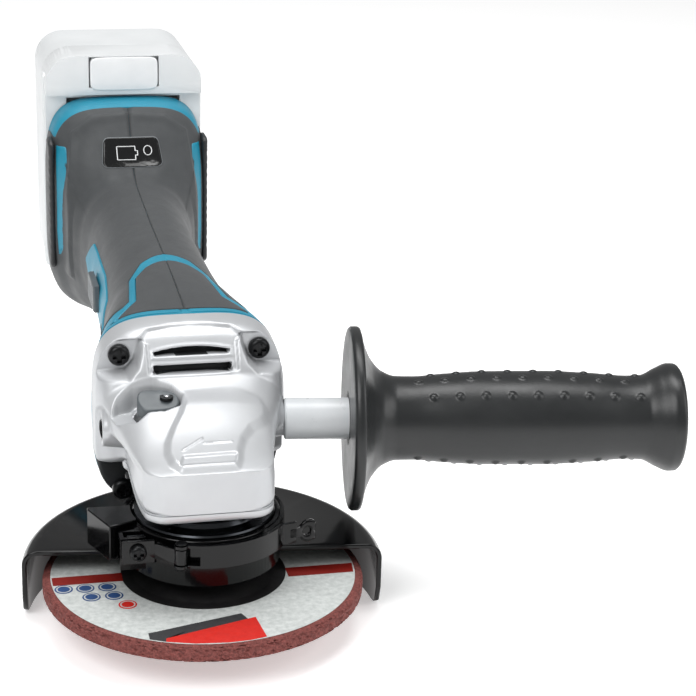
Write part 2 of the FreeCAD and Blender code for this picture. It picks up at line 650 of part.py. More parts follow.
# ---------------------------------------------------------------- body shells and soft grip
BODY_SECTIONS = [
    # y, half width, underside, top, squareness
    (48, 37.8, 19, 96.5, 3.8), (62, 34.2, 22.5, 98.2, 3.4), (78, 30.2, 26, 99.7, 2.9),
    (96, 27.2, 31, 100.7, 2.5), (122, 25.2, 38, 101.8, 2.35), (150, 24.3, 42, 102.8, 2.3),
    (170, 23.7, 43, 104.2, 2.3), (190, 24.2, 43, 105.5, 2.3), (202, 26, 42, 106.8, 2.45),
    (210, 28.2, 40, 109.6, 2.8), (216, 29.8, 38.4, 114.6, 3.1), (225, 32.4, 37, 126, 3.4),
    (233, 36.4, 36.4, 134.4, 3.8), (241, 38, 36.2, 137.6, 4.2), (250, 38.2, 36.2, 138.4, 4.4)]


def body_solid(inset, y_from, y_to):
    """The body's outside, taken in by inset, as a smooth loft cut to a stretch of y."""
    wires = [squircle(y, half - inset, low + inset, top - inset, power)
             for y, half, low, top, power in BODY_SECTIONS]
    loft = Part.makeLoft(wires, True, False)
    span = Part.makeBox(200, y_to - y_from, 300, Vector(-100, y_from, -50))
    return loft.common(span)


def halves(label, solid, side_gap=0.0):
    """Splits a solid at x = 0 and keeps each side as its own sub-part."""
    for name, start in (("left", -100), ("right", side_gap)):
        box = Part.makeBox(100 - side_gap, 400, 400, Vector(start, -50, -100))
        shaped(f"{label}_{name}", solid.common(box))


def body():
    front, back = D["joint_plane"], D["body_back"]
    outside = body_solid(0, front, back)
    skin = outside.cut(body_solid(D["soft_thickness"], front - 1, back + 1))
    inside = body_solid(D["shell_depth"], front, D["wall_back"])
    top_view = [(D["slot_half"] + 12.5, D["soft_front"]), (17.8, 64), (14.5, 92), (9, 100),
                (0, D["pad_back"])]
    pad_plan = [Vector(x, y, 80) for x, y in top_view]
    pad_plan += [Vector(-p.x, p.y, 80) for p in reversed(pad_plan[:-1])]
    pad_prism = Part.Face(Part.makePolygon(pad_plan + pad_plan[:1])).extrude(Vector(0, 0, 60))
    pads = skin.common(pad_prism)
    # the teal lip that shows round the pad
    lip = [(D["slot_half"] + 18, D["soft_front"]), (20.3, 66), (17, 93), (10.5, 105),
           (0, D["band_back"])]
    lip_plan = [Vector(x, y, 80) for x, y in lip]
    lip_plan += [Vector(-p.x, p.y, 80) for p in reversed(lip_plan[:-1])]
    lip_prism = Part.Face(Part.makePolygon(lip_plan + lip_plan[:1])).extrude(Vector(0, 0, 60))
    flank = Part.makeBox(200, 12, 100, Vector(-100, D["soft_front"] - 1, 0))
    soft = skin.common(Part.makeBox(200, D["soft_back"] - D["soft_front"], 300,
                                    Vector(-100, D["soft_front"], -50)))
    soft = soft.cut(lip_prism).cut(flank)
    panel_box = Part.makeBox(2 * D["panel_half"], 40, D["panel_top"] - D["panel_low"],
                             Vector(-D["panel_half"], 200, D["panel_low"]))
    panel = soft.common(panel_box)
    soft = soft.cut(panel_box)
    strips = []
    for start in (-60, D["strip_inner"]):
        box = Part.makeBox(60 - D["strip_inner"], D["soft_back"] - D["strip_front"] + 2,
                           D["strip_top"] - D["strip_low"],
                           Vector(start, D["strip_front"], D["strip_low"]))
        strips.append(soft.common(box))
        soft = soft.cut(box)
    slot = Part.makeBox(30, 18, 9.4, Vector(-40, 128.5, 71.3))
    soft = soft.cut(slot)
    posts = [Part.makeCylinder(4, 80, Vector(-40, y, z), X_AXIS) for y, z in SHELL_SCREWS]
    posts += [Part.makeCylinder(4.6, 14, Vector(x, front, z), Y_AXIS) for x, z in CASE_SCREWS]
    shell = outside.cut(inside).fuse([outside.common(post) for post in posts]).cut(slot)
    for y, z in SHELL_SCREWS:
        shell = shell.cut(Part.makeCylinder(1.6, 26, Vector(-13, y, z), X_AXIS))
    for x, z in CASE_SCREWS:
        shell = shell.cut(Part.makeCylinder(2.05, 12, Vector(x, front, z), Y_AXIS))
    shell = shell.cut(Part.makeCylinder(D["fan_room"], 8, Vector(0, front, D["motor_height"]),
                                        Y_AXIS))
    for piece in (soft, pads, panel, *strips):
        shell = shell.cut(piece)
    halves("body_shell", shell)
    halves("grip_overmold", soft)
    halves("front_pad", pads)
    shaped("indicator_panel", panel)
    shaped("dust_cover_left", strips[0])
    shaped("dust_cover_right", strips[1])


def inside_body():
    keep(block("control_board", ("-28", "28"), ("236", "238"), ("50", "118")), "control_board")
    keep(block("switch_unit", ("-12", "12"), ("122", "150"), ("58", "84")), "switch_unit")
    rods = [rod(f"shell_screw_{y}_{z}", "1.6", Vector(-13, y, z), X_AXIS, "26")
            for y, z in SHELL_SCREWS]
    keep(joined("shell_screws_all", rods), "shell_screws")


def switch():
    """Slide switch on the left flank: knob outside, stem through the shell, rod to the switch."""
    knob = Part.makeBox(2.8, 22, 12, Vector(-28.4, 130, 70))
    knob = knob.makeFillet(1.2, [e for e in knob.Edges if e.CenterOfMass.x < -28])
    for i in range(5):
        knob = knob.cut(Part.makeBox(0.8, 1.2, 9, Vector(-28.5, 133 + 3.6 * i, 71.5)))
    stem = Part.makeBox(6.7, 8, 8, Vector(-26, 138, 72))
    shaped("switch_knob", knob.fuse(stem))
    arm = Part.makeBox(2, 24, 5, Vector(-19.3, 139, 73.5))
    tongue = Part.makeBox(8, 3, 5, Vector(-19.3, 160, 73.5))
    shaped("switch_rod", arm.fuse(tongue))


# ---------------------------------------------------------------- guard
def guard():
    turned_guard = Placement(Vector(0, 0, 0), Rotation(Z_AXIS, D["guard_turn"]))
    plate_top = "guard_plate + guard_sheet"
    body = turned("guard", [
        ("collar_outer - 0.5", "guard_plate"), ("guard_radius - guard_sheet", "guard_plate"),
        ("guard_radius - guard_sheet", "guard_low"), ("guard_radius", "guard_low"),
        ("guard_radius", plate_top), ("collar_outer - 0.5", plate_top)], [
        ("collar_inner", "guard_plate"), ("collar_outer", "guard_plate"),
        ("collar_outer", "collar_top"), ("collar_inner", "collar_top")],
        place=turned_guard, angles=(180, 360))
    top = D["guard_plate"] + D["guard_sheet"]
    bends = ((D["guard_radius"], top, 6), (D["guard_radius"] - D["guard_sheet"],
                                           D["guard_plate"], 4))
    for radius, height, bend in bends:
        tip = body.Tip
        names = [f"Edge{i}" for i, e in enumerate(tip.Shape.Edges, start=1)
                 if e.Curve.TypeId == "Part::GeomCircle" and abs(e.Curve.Radius - radius) < 0.01
                 and abs(e.CenterOfMass.z - height) < 0.01]
        fillet = body.newObject("PartDesign::Fillet", f"guard_bend_{bend}")
        fillet.Base = (tip, names)
        fillet.Radius = bend
        doc.recompute()


def arc_band(inner, outer, low, high, start, sweep):
    """A stretch of tube about the spindle axis, from angle start over sweep degrees."""
    profile = [Vector(inner, 0, low), Vector(outer, 0, low), Vector(outer, 0, high),
               Vector(inner, 0, high)]
    face = Part.Face(Part.makePolygon(profile + profile[:1]))
    piece = face.revolve(Vector(0, 0, 0), Z_AXIS, sweep)
    piece.rotate(Vector(0, 0, 0), Z_AXIS, start)
    return piece


LEVER_PIVOT = Vector(-13.2, -30.3, 0)
SCREW_AXIS = Vector(-28.7, 0, 28.5)


def upright_prism(corners, low, high):
    points = [Vector(x, y, low) for x, y in corners]
    face = Part.Face(Part.makePolygon(points + points[:1]))
    return face.extrude(Vector(0, 0, high - low))


def round_post(radius, low, high, at=LEVER_PIVOT):
    return Part.makeCylinder(radius, high - low, Vector(at.x, at.y, low))


def clamp_parts():
    low, high = D["band_low"], D["band_top"]
    lever_low, lever_top = D["lever_low"], D["lever_top"]
    shank = Part.makeCylinder(2.1, 20, Vector(SCREW_AXIS.x, -32, SCREW_AXIS.z), Y_AXIS)
    # open band round the collar, ending in a folded lug behind the screw
    band = arc_band(D["collar_outer"], D["band_outer"], low, high, -88, 298)
    lug = upright_prism([(-35, -21.4), (-25.4, -21.4), (-25.4, -19.8), (-33.4, -19.8),
                         (-33.4, -15.2), (-27, -15.2), (-27, -13.6), (-35, -13.6)], low, high)
    band = band.fuse(lug).cut(Part.makeCylinder(D["collar_outer"], 60)).cut(shank)
    shaped("clamp_band", band.removeSplitter())
    seat = Placement(Vector(SCREW_AXIS.x, -25, SCREW_AXIS.z), Rotation(Z_AXIS, Vector(0, -1, 0)))
    shaped("clamp_screw", placed(pan_screw(3.2, 2.6, 2, 9.5), seat))
    nut = Part.makeBox(6.4, 3, 6.8, Vector(SCREW_AXIS.x - 3.2, -19.8, SCREW_AXIS.z - 3.4))
    shaped("clamp_nut", nut.cut(Part.makeCylinder(2, 20, Vector(SCREW_AXIS.x, -32, SCREW_AXIS.z),
                                                  Y_AXIS)))
    # folded link from the screw to the lever's pin
    link = upright_prism([(-34.6, -25), (-22.4, -25), (-14.6, -31.2), (-13.6, -29.6),
                          (-21.8, -23.4), (-33, -23.4), (-33, -21.8), (-34.6, -21.8)],
                         lever_low + 2.2, lever_top - 2.2)
    plate = upright_prism([(-34.6, -25), (-22.4, -25), (-22.4, -23.4), (-34.6, -23.4)],
                          lever_low, lever_top)
    link = link.fuse([plate, round_post(2.5, lever_low + 2.2, lever_top - 2.2)])
    link = link.cut(round_post(1.55, 0, 60)).cut(shank)
    shaped("clamp_link", link.removeSplitter())
    # lever: curved strip, forked end round the pin, thumb tab at the far end
    lever = arc_band(D["lever_inner"], D["lever_outer"], lever_low, lever_top, -101, 67)
    for start in (lever_low, lever_top - 1.6):
        fork = arc_band(30.6, D["lever_outer"], start, start + 1.6, -112, 15)
        lever = lever.fuse([fork, round_post(2.7, start, start + 1.6)])
    tab = Part.makeBox(14.6, 1.6, 11.4, Vector(0, 0, 20.9))
    tab.rotate(Vector(0, 0, 0), Z_AXIS, 10)
    tab.translate(Vector(27.4, -18.6, 0))
    lever = lever.fuse(tab).removeSplitter().cut(round_post(1.55, 0, 60))
    shaped("clamp_lever", lever)
    pin = round_post(1.5, lever_low - 0.3, lever_top + 0.3)
    for start in (lever_low - 1.1, lever_top + 0.3):
        pin = pin.fuse(round_post(2.2, start, start + 0.8))
    shaped("lever_pin", pin.removeSplitter())
    # pressed catch on the collar, over the guard's end
    outer = [(-44.7, 5), (-44.7, 3.3), (-38, -13.6), (-27, -9), (-27, 5)]
    inner = [(-43.2, 3.5), (-37.2, -11.7), (-25, -6.6), (-25, 3.5)]
    catch = upright_prism(outer, 20, 34.5).cut(upright_prism(inner, 19, D["collar_top"]))
    catch = catch.cut(Part.makeCylinder(D["band_outer"] + 0.1, D["collar_top"]))
    catch = catch.cut(Part.makeCylinder(D["collar_inner"] + 0.5, 60))
    shaped("guard_catch", catch.removeSplitter())


# ---------------------------------------------------------------- shaft lock
def shaft_lock():
    """Button with a sprung pin through the case, which drops into the gear's notched rim."""
    x, y = LOCK_AXIS.x, LOCK_AXIS.y
    pin = Part.makeCylinder(1.75, 18.1, Vector(x, y, 50.5))
    pin = pin.fuse(Part.makeCylinder(1.2, 6, Vector(x, y, 67)))
    pin = pin.fuse(Part.makeCylinder(2.6, 1.1, Vector(x, y, 72.8)))
    shaped("lock_pin", pin.removeSplitter())
    cap = Part.makeBox(12, 11, 4.2, Vector(x - 12, y - 5.5, 68.6))
    cap = cap.fuse(Part.makeCylinder(5.5, 4.2, Vector(x, y, 68.6))).removeSplitter()
    shaped("lock_button", cap.cut(Part.makeCylinder(1.2, 20, Vector(x, y, 60))))
    folds = [(2.15 if fold % 2 else 2.65, 65.2 + 0.6 * fold) for fold in range(6)]
    section = [Vector(radius + 0.2, 0, height) for radius, height in folds]
    section += [Vector(radius - 0.2, 0, height) for radius, height in reversed(folds)]
    spring = Part.Face(Part.makePolygon(section + section[:1])).revolve(Vector(), Z_AXIS, 360)
    spring.translate(Vector(x, y, 0))
    shaped("lock_spring", spring)


# ---------------------------------------------------------------- side handle
def side_handle():
    turned("handle_stud", [
        ("0", "0 - stud_depth + 1"), ("stud_radius - 1", "0 - stud_depth + 1"),
        ("stud_radius", "0 - stud_depth + 2"), ("stud_radius", "spacer_length + 40"),
        ("0", "spacer_length + 40")], place=HANDLE_PLACE)
    turned("handle_spacer", [
        ("stud_radius", "0.3"), ("spacer_radius - 0.6", "0.3"), ("spacer_radius", "0.9"),
        ("spacer_radius", "spacer_length"), ("stud_radius", "spacer_length")],
        place=HANDLE_PLACE)
    turned("handle_core", [
        ("stud_radius", "spacer_length"), ("core_radius", "spacer_length"),
        ("core_radius", "spacer_length + grip_length - 8"),
        ("0", "spacer_length + grip_length - 8"),
        ("0", "spacer_length + 40"), ("stud_radius", "spacer_length + 40")],
        place=HANDLE_PLACE)
    start = D["spacer_length"]
    # (distance along the grip, radius): flare behind the disc, belly, waist and end bulge
    curve = [(6.5, 29), (9, 23.5), (13.5, 18.9), (19, 16.9), (26, 16.8), (38, 17.8),
             (55, 18.8), (78, 18.9), (98, 18), (113, 16.9), (119, 17.2), (125, 20),
             (130, 21.9)]
    points = [Vector(r, 0, start + s) for s, r in curve]
    spline = Part.BSplineCurve()
    spline.interpolate(points)
    disc = D["disc_radius"]
    corners = [Vector(D["core_radius"], 0, start), Vector(disc - 1, 0, start),
               Vector(disc, 0, start + 1), Vector(disc, 0, start + 3.6),
               Vector(disc - 1.4, 0, start + 4.6), points[0]]
    edges = [Part.LineSegment(a, b).toShape() for a, b in zip(corners, corners[1:])]
    edges.append(spline.toShape())
    tail = [points[-1], Vector(20.6, 0, start + 132.8), Vector(18, 0, start + 134),
            Vector(D["core_radius"] - 3, 0, start + 134),
            Vector(D["core_radius"] - 3, 0, start + 126),
            Vector(D["core_radius"], 0, start + 126), corners[0]]
    edges += [Part.LineSegment(a, b).toShape() for a, b in zip(tail, tail[1:])]
    grip = Part.Face(Part.Wire(edges)).revolve(Vector(0, 0, 0), Z_AXIS, 360)
    grip = Part.Solid(grip) if grip.ShapeType != "Solid" else grip
    shaped("handle_grip", grip).Placement = HANDLE_PLACE
    turned("handle_end_plug", [
        ("0", "spacer_length + grip_length - 8"),
        ("core_radius - 3", "spacer_length + grip_length - 8"),
        ("core_radius - 3", "spacer_length + grip_length - 0.6"),
        ("0", "spacer_length + grip_length - 0.6")], place=HANDLE_PLACE)


# ---------------------------------------------------------------- battery
def pack_block(y_from, y_to, low, high, inset=0.0):
    """A stretch of the pack's outside, with its round corners seen from the front."""
    return section_prism(y_from, y_to, D["pack_half"] - inset, low + inset, high - inset,
                         D["pack_corner"] - inset)


def battery():
    half, front, split, back = (D["pack_half"], D["pack_front"], D["pack_split"],
                                D["pack_back"])
    low, top = D["pack_low"], D["pack_top"]
    whole = pack_block(D["pack_nose"], back, low, top)
    step = Part.makeBox(100, front - D["pack_nose"] + 1, D["pack_step"] + 50,
                        Vector(-50, D["pack_nose"] - 1, -50))
    whole = whole.cut(step)
    room = Part.makeBox(70.6, 37.4, 93.6, Vector(-35.3, 272.2, 44.2))
    channel = Part.makeBox(2 * D["channel_half"], D["channel_back"] - front + 5,
                           D["channel_top"] - low + 5,
                           Vector(-D["channel_half"], front - 5, low - 5))
    pocket = Part.makeBox(2 * D["button_half"] + 0.8, 7, D["button_top"] - D["button_low"] + 4,
                          Vector(-D["button_half"] - 0.4, D["pack_nose"] - 2,
                                 D["button_low"] - 3.6))
    whole = whole.cut(room).cut(channel).cut(pocket)
    cutter = Part.makeBox(200, 400, 400, Vector(-100, split - 400, -100))
    shaped("battery_case_front", whole.common(cutter))
    shaped("battery_case_rear", whole.cut(cutter))
    cells = []
    for column in (282.1, 300.1):
        for i in range(5):
            centre = Vector(-D["cell_length"] / 2, column, 54.2 + D["cell_pitch"] * i)
            cells.append(Part.makeCylinder(D["cell_radius"], D["cell_length"], centre, X_AXIS))
    shaped("battery_cells", Part.makeCompound(cells))
    keep(block("battery_button", ("0 - button_half", "button_half"),
               ("pack_nose + 0.2", "pack_nose + 4.2"), ("button_low", "button_top")),
         "battery_button")
    rail = Part.makeBox(44, 4.6, 76, Vector(-22, D["body_back"], 56))
    rail = rail.fuse(Part.makeBox(52, 4.2, 76, Vector(-26, D["body_back"] + 4.6, 56)))
    shaped("terminal_block", rail)
    blades = [Part.makeBox(1, 6, 14, Vector(x, 238, 60)) for x in (-15, 15)]
    shaped("board_terminals", Part.makeCompound(blades))


# ---------------------------------------------------------------- build, check and write
wheel_end()
ball_bearing("spindle_bearing", D["journal_radius"], D["bearing_outer"], D["bearing_low"],
             D["bearing_top"])
turned("spindle_bush", [("top_journal + 0.05", "bush_low"), ("bush_outer", "bush_low"),
                        ("bush_outer", "bush_top - 0.01"),
                        ("top_journal + 0.05", "bush_top - 0.01")])
bearing_box()
gear_case()
lower_flange()
screws()
bevel_pair()
motor()
body()
inside_body()
switch()
guard()
clamp_parts()
shaft_lock()
side_handle()
battery()
doc.recompute()

for obj in doc.Objects:
    if "Invalid" in obj.State or "Error" in obj.State:
        raise RuntimeError(f"{obj.Label} failed to build: {obj.State}")
os.makedirs("parts", exist_ok=True)
for stale in os.listdir("parts"):
    if stale.endswith(".step"):
        os.remove(os.path.join("parts", stale))
for label, obj in SUB_PARTS:
    shape = obj.Shape
    if shape.isNull() or not shape.isValid() or not shape.Solids:
        raise RuntimeError(f"{label} is not a valid solid")
    shape.exportStep(f"parts/{label}.step")
    print(f"{label}: {len(shape.Solids)} solids, {shape.Volume / 1000:.2f} cm3")
print(len(SUB_PARTS), "sub-parts")
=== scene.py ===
import json
import math

import bmesh
import bpy
import numpy as np
from mathutils import Matrix, Vector


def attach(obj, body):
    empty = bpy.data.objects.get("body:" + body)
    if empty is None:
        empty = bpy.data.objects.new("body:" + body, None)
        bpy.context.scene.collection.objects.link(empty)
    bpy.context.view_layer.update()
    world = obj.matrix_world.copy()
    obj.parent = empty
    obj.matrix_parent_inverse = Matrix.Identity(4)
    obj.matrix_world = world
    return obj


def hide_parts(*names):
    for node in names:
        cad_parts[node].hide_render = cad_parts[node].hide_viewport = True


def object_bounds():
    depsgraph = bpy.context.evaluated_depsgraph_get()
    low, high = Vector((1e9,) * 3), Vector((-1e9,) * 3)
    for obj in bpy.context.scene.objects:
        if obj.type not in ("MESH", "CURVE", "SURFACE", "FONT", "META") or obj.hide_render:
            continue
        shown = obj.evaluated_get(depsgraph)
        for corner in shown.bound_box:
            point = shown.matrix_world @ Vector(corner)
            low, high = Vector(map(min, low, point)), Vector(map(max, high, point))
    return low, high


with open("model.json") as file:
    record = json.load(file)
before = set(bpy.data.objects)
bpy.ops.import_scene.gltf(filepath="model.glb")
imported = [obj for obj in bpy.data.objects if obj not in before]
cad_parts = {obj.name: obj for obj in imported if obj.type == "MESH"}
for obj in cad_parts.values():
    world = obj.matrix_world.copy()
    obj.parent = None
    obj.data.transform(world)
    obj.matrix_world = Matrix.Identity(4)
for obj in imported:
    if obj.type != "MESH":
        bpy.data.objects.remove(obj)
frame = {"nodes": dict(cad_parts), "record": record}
cad_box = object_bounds()
nodes = frame["nodes"]

MM = 0.001


# ---------------------------------------------------------------- materials

def linear(hex_colour):
    """Turns an sRGB hex colour into linear red, green, blue and full opacity."""
    parts = [int(hex_colour[i:i + 2], 16) / 255 for i in (1, 3, 5)]
    curve = [c / 12.92 if c <= 0.04045 else ((c + 0.055) / 1.055) ** 2.4 for c in parts]
    return (*curve, 1.0)


def add_node(tree, kind, settings=None, links=None, **inputs):
    """Adds one shader node, sets its settings and sockets, and joins its links."""
    node = tree.nodes.new(kind)
    for key, value in (settings or {}).items():
        setattr(node, key, value)
    for key, value in inputs.items():
        node.inputs[key.replace("_", " ")].default_value = value
    for key, source in (links or {}).items():
        tree.links.new(source, node.inputs[key])
    return node


def new_finish(name, colour, roughness, metallic=0.0, **shader_values):
    """A material with its Principled shader, and object coordinates in metres."""
    finish = bpy.data.materials.new(name)
    finish.use_nodes = True
    tree = finish.node_tree
    shader = tree.nodes["Principled BSDF"]
    shader.inputs["Base Color"].default_value = linear(colour)
    shader.inputs["Roughness"].default_value = roughness
    shader.inputs["Metallic"].default_value = metallic
    for key, value in shader_values.items():
        shader.inputs[key.replace("_", " ")].default_value = value
    place = tree.nodes.new("ShaderNodeTexCoord").outputs["Object"]
    return finish, tree, shader, place


def grain(tree, shader, place, size_mm, height_mm):
    """A raised random grain: noise whose lumps are size_mm wide and height_mm high."""
    noise = add_node(tree, "ShaderNodeTexNoise", None, {"Vector": place},
                     Scale=1 / (size_mm * MM), Detail=3.0, Roughness=0.55)
    bump = add_node(tree, "ShaderNodeBump", None, {"Height": noise.outputs["Fac"]},
                    Strength=1.0, Distance=height_mm * MM)
    tree.links.new(bump.outputs["Normal"], shader.inputs["Normal"])


def mottle(tree, shader, place, low, high, size_mm):
    """Colour that drifts between two shades over patches size_mm wide."""
    noise = add_node(tree, "ShaderNodeTexNoise", None, {"Vector": place},
                     Scale=1 / (size_mm * MM), Detail=4.0, Roughness=0.6)
    shades = add_node(tree, "ShaderNodeValToRGB", None, {"Fac": noise.outputs["Fac"]})
    first, last = shades.color_ramp.elements
    first.position = 0.25
    first.color = linear(low)
    last.position = 0.75
    last.color = linear(high)
    tree.links.new(shades.outputs["Color"], shader.inputs["Base Color"])


def uneven_gloss(tree, shader, place, low, high, size_mm):
    """Roughness that drifts between low and high, as handling and casting leave it."""
    noise = add_node(tree, "ShaderNodeTexNoise", None, {"Vector": place},
                     Scale=1 / (size_mm * MM), Detail=5.0, Roughness=0.6)
    spread = add_node(tree, "ShaderNodeMapRange", None, {"Value": noise.outputs["Fac"]},
                      From_Min=0.3, From_Max=0.7, To_Min=low, To_Max=high)
    tree.links.new(spread.outputs["Result"], shader.inputs["Roughness"])


def simple_finish(name, colour, shade, roughness, metallic, patch_mm, grain_mm, height_mm, **values):
    """A finish with drifting colour, uneven gloss and a fine grain of its own size."""
    finish, tree, shader, place = new_finish(name, colour, roughness, metallic, **values)
    mottle(tree, shader, place, shade, colour, patch_mm)
    uneven_gloss(tree, shader, place, roughness * 0.85, roughness * 1.15, patch_mm * 0.6)
    grain(tree, shader, place, grain_mm, height_mm)
    return finish


# Painted die-cast aluminium: a satin silver coat with a very fine orange peel.
cast_aluminium = simple_finish("painted_cast_aluminium", "#C6C8CA", "#BBBDC0", 0.4, 0.4,
                               30, 0.5, 0.016, Coat_Weight=0.15, Coat_Roughness=0.3)
# ABS, moulded with a fine spark texture: the teal parts of the shells.
teal_plastic = simple_finish("moulded_teal_abs", "#1F8BA6", "#197F99", 0.42, 0.0, 18, 0.35, 0.02)
# Soft thermoplastic elastomer moulded over the shells: dull, with a coarse leathery grain.
soft_grip = simple_finish("soft_overmould_grey", "#3C3F41", "#333638", 0.62, 0.0, 14, 0.55, 0.06,
                          Sheen_Weight=0.15)
# Glass-filled nylon: dark covers and small mouldings; also the painted shade deep inside the gear head's
# vent slots.
black_plastic = simple_finish("glass_filled_nylon", "#2B2D2F", "#232527", 0.5, 0.0, 12, 0.4, 0.03)
# Lighter grey moulding, such as bars and vents.
grey_plastic = simple_finish("moulded_grey_abs", "#7C8184", "#73787B", 0.45, 0.0, 15, 0.4, 0.02)
dark_button = simple_finish("moulded_dark_grey_button", "#5B6164", "#50565A", 0.38, 0.0, 8, 0.4, 0.02)
pale_plastic = simple_finish("pale_grey_acetal", "#DDE0E2", "#D2D6D9", 0.3, 0.0, 15, 0.6, 0.01)
battery_plastic = simple_finish("pale_grey_battery_abs", "#E0E2E3", "#D7DADB", 0.36, 0.0, 25, 0.5, 0.015)
button_plastic = simple_finish("off_white_abs", "#EAEBEC", "#E1E3E4", 0.4, 0.0, 15, 0.5, 0.015)
# Rubber-modified polypropylene of the side handle: nearly black, soft gloss.
handle_rubber = simple_finish("moulded_handle_rubber", "#1D1F20", "#181A1B", 0.36, 0.0, 20, 0.5, 0.03)
# Gloss black enamel on pressed steel.
black_paint = simple_finish("black_enamel_on_steel", "#040405", "#060607", 0.13, 0.0, 25, 6.0, 0.02,
                            Specular_IOR_Level=0.3)
black_screws = simple_finish("black_oxide_screws", "#1A1B1D", "#121314", 0.32, 0.6, 4, 0.3, 0.01)
bright_steel = simple_finish("ground_bright_steel", "#C4C6C8", "#B6B9BC", 0.24, 1.0, 6, 0.25, 0.004)
spring_steel = simple_finish("spring_steel", "#8E9296", "#7F8387", 0.3, 1.0, 6, 0.25, 0.004)
gear_steel = simple_finish("case_hardened_steel", "#85888C", "#74777B", 0.34, 1.0, 6, 0.3, 0.006)
lamination_steel = simple_finish("stacked_electrical_steel", "#6F7276", "#606367", 0.5, 0.9, 6, 0.35, 0.02)
cell_steel = simple_finish("nickel_plated_cells", "#A9B0B5", "#9CA3A8", 0.28, 1.0, 10, 0.5, 0.004)
blued_steel = simple_finish("blued_steel_flange", "#15171A", "#1E2125", 0.3, 0.7, 8, 0.4, 0.008)
bronze = simple_finish("sintered_bronze", "#A27A45", "#8D6938", 0.45, 1.0, 5, 0.3, 0.02)
copper_wire = simple_finish("enamelled_copper", "#B5622F", "#9C5226", 0.3, 0.9, 4, 0.4, 0.01)
panel_gloss = simple_finish("gloss_black_panel", "#0A0B0C", "#0F1011", 0.12, 0.0, 12, 3.0, 0.004)
board_laminate = simple_finish("glass_epoxy_board", "#1D5A3A", "#184E32", 0.4, 0.0, 10, 0.5, 0.01)
bonded_abrasive = simple_finish("bonded_aluminium_oxide", "#94504A", "#4C211E", 0.85, 0.0, 0.9, 0.7, 0.4)

# Turned aluminium of the neck: a brighter metal than the casting above it, and smoother, but its colour is
# darkened to near black as painted shade for the shadow under the gear head.
neck_metal_painted_shade = simple_finish("turned_aluminium_neck_painted_shade", "#3E4043", "#35373A", 0.24, 1.0, 8, 0.3, 0.004)
# Pad-printed white ink on the panel.
panel_line = simple_finish("printed_white_line", "#E8E9EA", "#DADCDD", 0.45, 0.0, 3, 0.4, 0.005)
# Printed paper label of the wheel: pale, slightly blotted by the cloth under it.
label_paper = simple_finish("printed_label_paper", "#D2D5D3", "#ADB2B0", 0.6, 0.0, 2.2, 0.6, 0.04)
label_black = simple_finish("printed_label_black", "#0F0F11", "#1B1A1A", 0.5, 0.0, 4, 0.6, 0.04)
label_red = simple_finish("printed_label_red", "#D7281D", "#C6221A", 0.5, 0.0, 3, 0.6, 0.03)
label_dark_red = simple_finish("printed_label_dark_red", "#8A1A10", "#7A160E", 0.5, 0.0, 3, 0.6, 0.03)
label_dark_grey = simple_finish("printed_label_dark_grey", "#3A3A3C", "#303032", 0.55, 0.0, 3, 0.6, 0.03)
label_blue = simple_finish("printed_label_blue", "#2D4F86", "#25436F", 0.5, 0.0, 3, 0.6, 0.03)

FINISHES = {
    "bonded_abrasive": bonded_abrasive,
    "blued_steel": blued_steel,
    "bright_steel": bright_steel,
    "spring_steel": spring_steel,
    "gear_steel": gear_steel,
    "lamination_steel": lamination_steel,
    "cell_steel": cell_steel,
    "bronze": bronze,
    "copper_wire": copper_wire,
    "cast_aluminium": cast_aluminium,
    "black_plastic": black_plastic,
    "black_screws": black_screws,
    "teal_plastic": teal_plastic,
    "soft_grip": soft_grip,
    "grey_plastic": grey_plastic,
    "dark_button": dark_button,
    "panel_gloss": panel_gloss,
    "board_laminate": board_laminate,
    "black_paint": black_paint,
    "pale_plastic": pale_plastic,
    "handle_rubber": handle_rubber,
    "battery_plastic": battery_plastic,
    "button_plastic": button_plastic,
}


def dress_frame():
    """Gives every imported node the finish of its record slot."""
    for row in frame["record"]["subparts"]:
        cad = nodes[row["node"]]
        cad.data.materials.clear()
        cad.data.materials.append(FINISHES[row["material_slot"]])


dress_frame()


# ---------------------------------------------------------------- making surfaces

HANDLE_START = np.array([36.1, 26.0, 58.0])
HANDLE_TURN = math.radians(8.3)
HANDLE_AXIS = np.array([math.cos(HANDLE_TURN), -math.sin(HANDLE_TURN), 0.0])
HANDLE_SIDE = np.array([-math.sin(HANDLE_TURN), -math.cos(HANDLE_TURN), 0.0])
HANDLE_UP = np.array([0.0, 0.0, 1.0])
PACK_SIDE = 37.5
RAIL_MIDDLE = 259.0


def ramp(distance, width):
    """One inside an outline, nought outside, with an S-shaped edge of the given width."""
    t = np.clip(0.5 - distance / width, 0, 1)
    return t * t * (3 - 2 * t)


def box_distance(u, v, centre, half, corner):
    """Distance outside a rounded rectangle; negative inside."""
    du = np.abs(u - centre[0]) - half[0] + corner
    dv = np.abs(v - centre[1]) - half[1] + corner
    outside = np.hypot(np.maximum(du, 0), np.maximum(dv, 0))
    return outside + np.minimum(np.maximum(du, dv), 0) - corner


def rounded_square(turn, power):
    """Points (sgn(cos t)|cos t|^p, sgn(sin t)|sin t|^p) of a squircle that fits a square of side 2."""
    across = np.sign(np.cos(turn)) * np.abs(np.cos(turn)) ** power
    up = np.sign(np.sin(turn)) * np.abs(np.sin(turn)) ** power
    return across, up


def outline_distance(u, v, corners, soften=0.0):
    """Distance outside a closed outline of straight edges, grown by soften; negative inside."""
    nearest = np.full(np.shape(u), 1e9)
    inside = np.zeros(np.shape(u), bool)
    for (u1, v1), (u2, v2) in zip(corners, corners[1:] + corners[:1]):
        run, rise = u2 - u1, v2 - v1
        along = np.clip(((u - u1) * run + (v - v1) * rise) / (run * run + rise * rise), 0, 1)
        nearest = np.minimum(nearest, np.hypot(u - u1 - along * run, v - v1 - along * rise))
        if v1 != v2:
            crosses = ((v1 > v) != (v2 > v)) & (u < run * (v - v1) / rise + u1)
            inside ^= crosses
    return np.where(inside, -nearest, nearest) - soften


